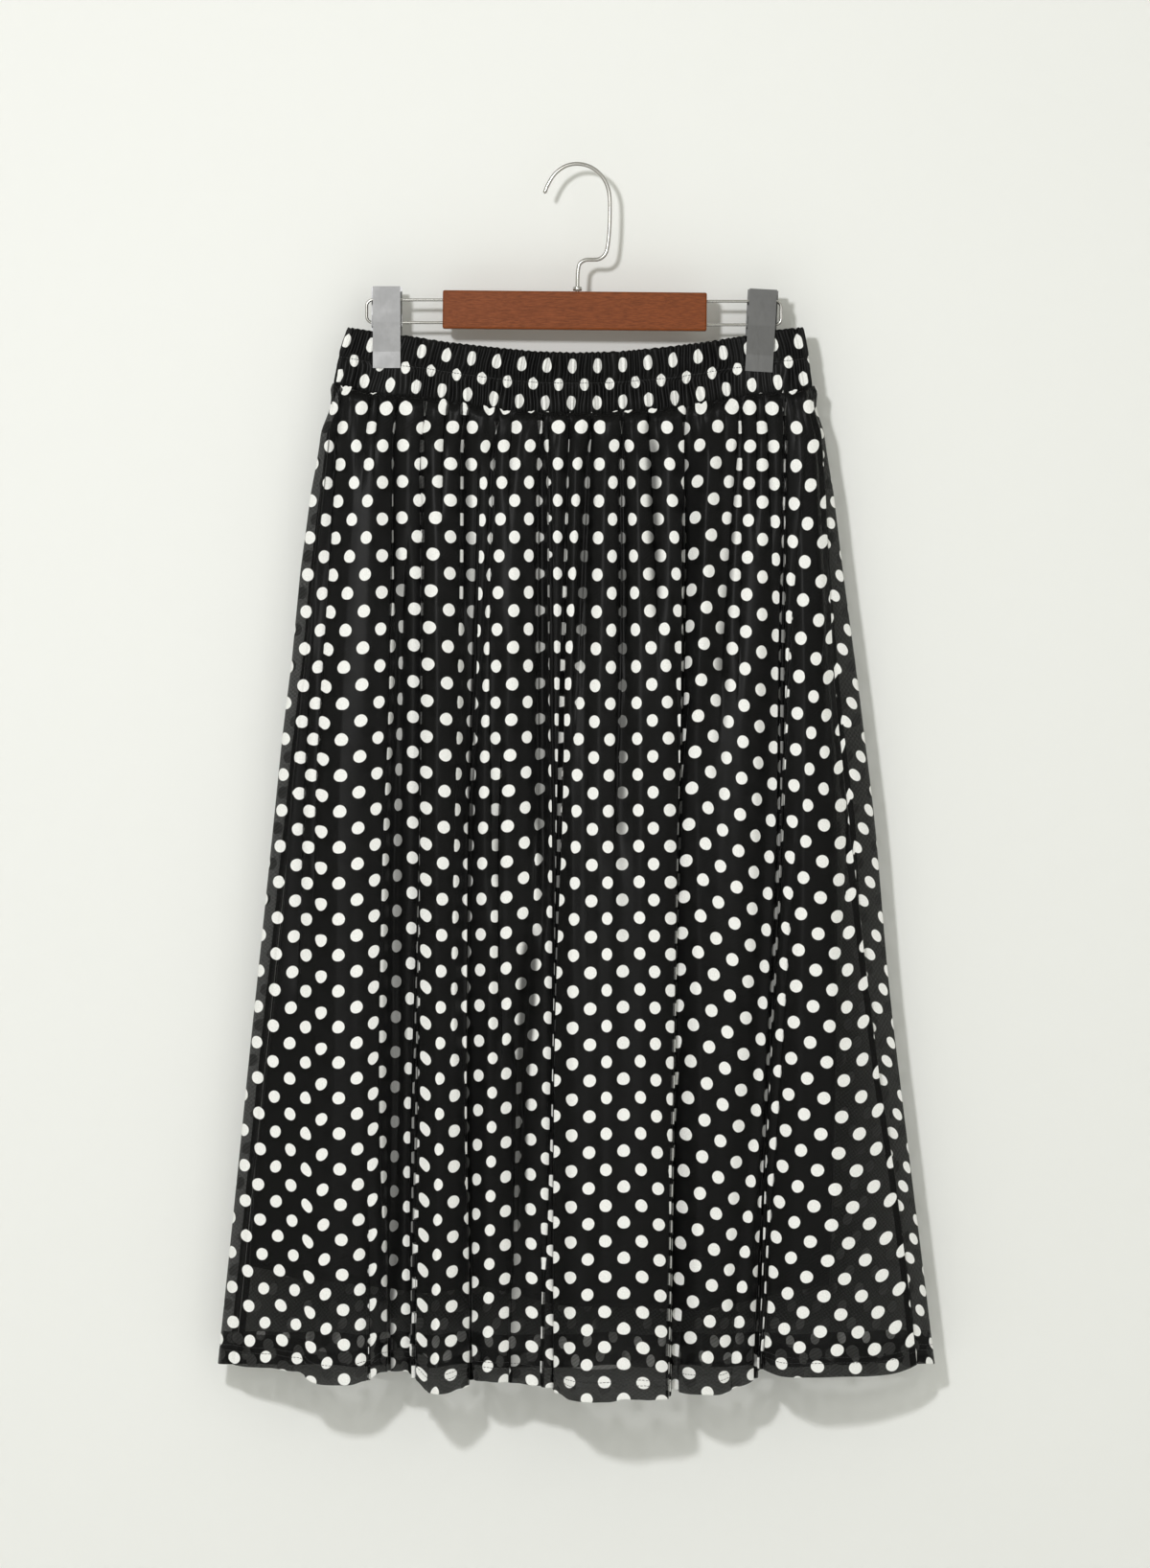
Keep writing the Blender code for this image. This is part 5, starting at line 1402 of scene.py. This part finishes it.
class BandSettings(bpy.types.PropertyGroup):
    """Sizes of the ruched waistband."""

    gathers: count_property("Gathers", "Gathers round the band", BAND_GATHERS, 20)
    gather_points: count_property("Points", "Points across each gather", 8, 4)
    gather_depth: size_property("Gather depth", "Depth of a gather in millimetres", 2.9)
    fullness: size_property("Fullness", "Length of cloth gathered into each length of band", 1.4, 1.0)


class HangerSettings(bpy.types.PropertyGroup):
    """Sizes of the hanger's wire."""

    hook_radius: size_property("Hook radius", "Radius of the hook's wire in millimetres", 1.6)
    loop_radius: size_property("Loop radius", "Radius of the loops' wire in millimetres", 1.15)


class FinishSettings(bpy.types.PropertyGroup):
    """Colours of the materials."""

    cloth_black: colour_property("Mesh", "Ground of the printed mesh", (0.0048, 0.0048, 0.0050))
    dot_white: colour_property("Dots", "White of the printed dots", (0.96, 0.96, 0.945))
    lining_black: colour_property("Lining", "Colour of the lining", (0.0032, 0.0032, 0.0034))
    thread_black: colour_property("Thread", "Colour of the stitching", (0.006, 0.006, 0.007))
    wood_brown: colour_property("Wood", "Colour of the bar", (0.195, 0.044, 0.005))
    wire_steel: colour_property("Wire", "Colour of the hook and the loops", (0.50, 0.49, 0.47))
    pale_steel: colour_property("Left clip", "Colour of the paler clip", (0.28, 0.28, 0.285))
    dark_steel: colour_property("Right clip", "Colour of the darker clip", (0.135, 0.135, 0.135))
    # A paler colour for the clips' bevelled edges.
    pale_edge: colour_property("Clip edges", "Colour of the clips' worn edges", (0.42, 0.42, 0.42))


class RoomSettings(bpy.types.PropertyGroup):
    """The pale room, its lights and the camera."""

    wall_white: colour_property("Wall", "Colour of the wall", (0.86, 0.865, 0.855))
    key_power: size_property("Key", "Power of the main light", 32.5, unit="POWER")
    fill_power: size_property("Fill", "Power of the soft light", 12.0, unit="POWER")
    world: size_property("World", "Strength of the pale surroundings", 0.46)


def settings():
    return bpy.context.scene.gathered_skirt


class GatheredSkirt(bpy.types.PropertyGroup):
    """All the settings together."""

    skirt: bpy.props.PointerProperty(type=SkirtSettings)
    band: bpy.props.PointerProperty(type=BandSettings)
    hanger: bpy.props.PointerProperty(type=HangerSettings)
    finish: bpy.props.PointerProperty(type=FinishSettings)
    room: bpy.props.PointerProperty(type=RoomSettings)


# Operators


class SKIRT_OT_waistband(bpy.types.Operator):
    """Make the ruched band with its row of stitches"""

    bl_idname = "skirt.waistband"
    bl_label = "Waistband"

    def execute(self, context):
        s = settings()
        grid, outside = band_grid(s.band)
        cloth = dotted_material("printed_band", s.finish, 1.0, s.skirt.dot_radius)
        # Painted shade in the band's creases; none on its inside rows.
        depth = painted_fold_shade(grid, 6, 0.1, 0.85)
        depth[outside:] = 0.0
        band = grid_mesh("ruched_band", grid, cloth, wrap_columns=True, wrap_rows=True, depth=depth)
        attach(band, ROOT)
        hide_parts("waistband")
        row = int(np.argmin(np.abs(grid[:outside, 0, 4] - BAND_STITCHES)))
        line = grid[row, :, :3]
        flat = closed_line(outward_round(line[None, :-1, :2])[0])
        normals = np.column_stack([flat, np.zeros(len(line))])
        runs = [stitch_run(line, normals, 1.9, 0.5, 0.26, 0.15, 71)]
        sewn = stitches("band_stitches", runs, thread_material(s))
        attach(sewn, ROOT)
        return {"FINISHED"}


class SKIRT_OT_panels(bpy.types.Operator):
    """Make the front and back of the skirt with their turned and stitched hems"""

    bl_idname = "skirt.panels"
    bl_label = "Skirt panels"

    def execute(self, context):
        s = settings()
        cloth = dotted_material("printed_mesh", s.finish, s.skirt.sheer, s.skirt.dot_radius)
        for side, panel in skirt_panels(s.skirt).items():
            whole = turned_hem(panel, s.skirt.hem)
            # Each panel carries painted shade in the hollows between its folds.
            body = grid_mesh(f"{side}_panel", whole, cloth, depth=painted_fold_shade(whole, 18, 0.6, 5.0))
            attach(body, ROOT)
            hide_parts(f"skirt_{side}")
            runs = []
            for height in HEM_STITCHES:
                sizes = 2.3, 0.5, 0.24, 0.12, 80 + int(height)
                runs.append(stitch_run(rows_at(panel, height), hem_normals(panel), *sizes))
            sewn = stitches(f"{side}_hem_stitches", runs, thread_material(s))
            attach(sewn, ROOT)
            for edge in (0, -1):
                name = f"{side}_seam_{'a' if edge == 0 else 'b'}"
                strip = grid_mesh(name, ribbon(panel, edge, 5.0, 0.9, 90 + edge), edge_material(s))
                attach(strip, ROOT)
        return {"FINISHED"}


class SKIRT_OT_lining(bpy.types.Operator):
    """Make the plain lining that hangs inside the skirt"""

    bl_idname = "skirt.lining"
    bl_label = "Lining"

    def execute(self, context):
        s = settings()
        cloth = plain_cloth_material("black_lining", s.finish.lining_black, 0.55, 0.15, 0.0005)
        for side in ("front", "back"):
            grid = lining_grid(side == "front", 90, 150)
            body = grid_mesh(f"{side}_lining", grid, cloth)
            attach(body, ROOT)
            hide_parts(f"lining_{side}")
            thickness = body.modifiers.new("thickness", "SOLIDIFY")
            thickness.thickness = 0.3 * MM
        return {"FINISHED"}


class SKIRT_OT_hanger(bpy.types.Operator):
    """Make the wire hook, the wire loops and the collar, and finish the wood bar"""

    bl_idname = "skirt.hanger"
    bl_label = "Hanger"

    def execute(self, context):
        s = settings()
        wire = metal_material("wire_steel", s.finish.wire_steel, 0.22, 0.12)
        path = np.array([(x, 0.0, z) for x, z in HOOK_PATH])
        path = through(path[None], [8] * (len(path) - 1))[0]
        full = np.clip(distance_along(path) / 1.6, 0, 1)
        radii = s.hanger.hook_radius * np.sqrt(np.clip(1 - (1 - full) ** 2, 0.02, 1))
        hook = tube_mesh("hook_wire", path, radii, 28, wire)
        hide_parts("hanger_hook")
        found = [hook]
        for side, end_x, upper, lower in LOOPS:
            path = loop_path(end_x, upper, lower, s.hanger.loop_radius)
            loop = tube_mesh(f"{side}_loop_wire", path, s.hanger.loop_radius, 20, wire)
            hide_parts(f"hanger_loop_{side}")
            found.append(loop)
        collar = lathe("collar_ring", COLLAR, COLLAR_CENTRE, wire, 48)
        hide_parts("hanger_collar")
        found.append(collar)
        for piece in found:
            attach(piece, ROOT)
        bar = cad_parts["hanger_bar"]
        bar.data.materials.clear()
        bar.data.materials.append(wood_material(s.finish))
        return {"FINISHED"}


class SKIRT_OT_clips(bpy.types.Operator):
    """Finish the two clips and coil their springs"""

    bl_idname = "skirt.clips"
    bl_label = "Clips"

    def execute(self, context):
        s = settings()
        steels = {
            "left": metal_material("pale_clip_steel", s.finish.pale_steel, 0.42, 0.2),
            "right": metal_material("dark_clip_steel", s.finish.dark_steel, 0.40, 0.25),
        }
        # The clips' bevelled edges get a paler steel than their faces.
        pale_edge = metal_material("pale_clip_edge", s.finish.pale_edge, 0.45, 0.1)
        turns, reach, radius, wire_radius = SPRING
        at = np.linspace(-1.0, 1.0, 150)
        angle = math.pi * turns * (at + 1)
        for side, middle, top, tilt, pivot in CLIPS:
            for jaw in ("front", "back"):
                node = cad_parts[f"clip_{jaw}_{side}"]
                node.data.materials.clear()
                node.data.materials.append(steels[side])
                node.data.materials.append(pale_edge)
                edge = node.modifiers.new("rounded edges", "BEVEL")
                edge.material = 1
                edge.width = 0.5 * MM
                edge.segments = 2
                edge.limit_method = "ANGLE"
            x, z = reach * at, pivot - top + radius * np.sin(angle)
            turned_x = middle + x * math.cos(tilt) + z * math.sin(tilt)
            turned_z = top - x * math.sin(tilt) + z * math.cos(tilt)
            path = np.column_stack([turned_x, radius * np.cos(angle), turned_z])
            spring = tube_mesh(f"{side}_spring", path, wire_radius, 8, steels[side])
            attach(spring, ROOT)
            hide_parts(f"clip_spring_{side}")
        return {"FINISHED"}


class SKIRT_OT_room(bpy.types.Operator):
    """Make the pale wall and floor, the lights and the camera"""

    bl_idname = "skirt.room"
    bl_label = "Room"

    def execute(self, context):
        scene = context.scene
        room = settings().room
        scene.view_settings.view_transform = "Standard"
        material, tree, shader = new_material("pale_wall", Roughness=0.9, Specular_IOR_Level=0.2)
        shader.inputs["Base Color"].default_value = solid(room.wall_white)
        behind = tree.node("ShaderNodeNewGeometry").outputs["Backfacing"]
        shadow = tree.node("ShaderNodeLightPath").outputs["Is Shadow Ray"]
        tree.link(tree.math("SUBTRACT", 1.0, tree.math("MAXIMUM", behind, shadow)), shader.inputs["Alpha"])
        wide, far = WALL_HALF_WIDTH, FLOOR_HALF_WIDTH
        wall = [[(x, WALL_Y, z) for x in (wide, -wide)] for z in (WALL_TOP, FLOOR_Z)]
        floor = [[(x, y, FLOOR_Z) for x in (-far, far)] for y in (-far, far)]
        wall = grid_mesh("wall", np.array(wall), material)
        floor = grid_mesh("floor", np.array(floor), material)
        self.light("key", room.key_power, *KEY_LIGHT)
        self.light("fill", room.fill_power, *FILL_LIGHT)
        self.light("back", room.fill_power * 1.6, *BACK_LIGHT)
        world = bpy.data.worlds.new("pale")
        world.use_nodes = True
        background = world.node_tree.nodes["Background"].inputs
        background["Color"].default_value = (1.0, 1.0, 0.87, 1.0)
        background["Strength"].default_value = room.world
        scene.world = world
        lens = bpy.data.cameras.new("front camera")
        lens.lens = 264.0
        lens.clip_end = 60.0
        camera = bpy.data.objects.new("front camera", lens)
        camera.location = CAMERA_PLACE
        camera.rotation_euler = (math.pi / 2, 0.0, 0.0)
        scene.collection.objects.link(camera)
        scene.camera = camera
        return {"FINISHED"}

    def light(self, name, power, place, size):
        data = bpy.data.lights.new(name, "AREA")
        data.energy = power
        data.size = size
        lamp = bpy.data.objects.new(name, data)
        lamp.location = place
        aim = Vector(LIGHTS_AIM) - Vector(place)
        lamp.rotation_euler = aim.to_track_quat("-Z", "Y").to_euler()
        bpy.context.scene.collection.objects.link(lamp)


class SKIRT_PT_panel(bpy.types.Panel):
    """Lists the steps that make the skirt"""

    bl_idname = "SKIRT_PT_panel"
    bl_label = "Gathered Skirt"
    bl_space_type = "VIEW_3D"
    bl_region_type = "UI"
    bl_category = "Skirt"

    def draw(self, context):
        for step in STEPS:
            self.layout.operator(step.bl_idname)
        for group in ("skirt", "band", "hanger", "finish", "room"):
            box = self.layout.box()
            given = getattr(context.scene.gathered_skirt, group)
            for name in given.__annotations__:
                box.prop(given, name)


STEPS = (
    SKIRT_OT_waistband, SKIRT_OT_panels, SKIRT_OT_lining, SKIRT_OT_hanger, SKIRT_OT_clips, SKIRT_OT_room,
)
GROUPED = (SkirtSettings, BandSettings, HangerSettings, FinishSettings, RoomSettings, GatheredSkirt)
MADE = {}


def register():
    for made in (*GROUPED, *STEPS, SKIRT_PT_panel):
        bpy.utils.register_class(made)
    bpy.types.Scene.gathered_skirt = bpy.props.PointerProperty(type=GatheredSkirt)


def unregister():
    del bpy.types.Scene.gathered_skirt
    for made in reversed((*GROUPED, *STEPS, SKIRT_PT_panel)):
        bpy.utils.unregister_class(made)


def main():
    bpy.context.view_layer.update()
    register()
    bpy.ops.skirt.waistband()
    bpy.ops.skirt.panels()
    bpy.ops.skirt.lining()
    bpy.ops.skirt.hanger()
    bpy.ops.skirt.clips()
    bpy.ops.skirt.room()


if __name__ == "__main__":
    main()
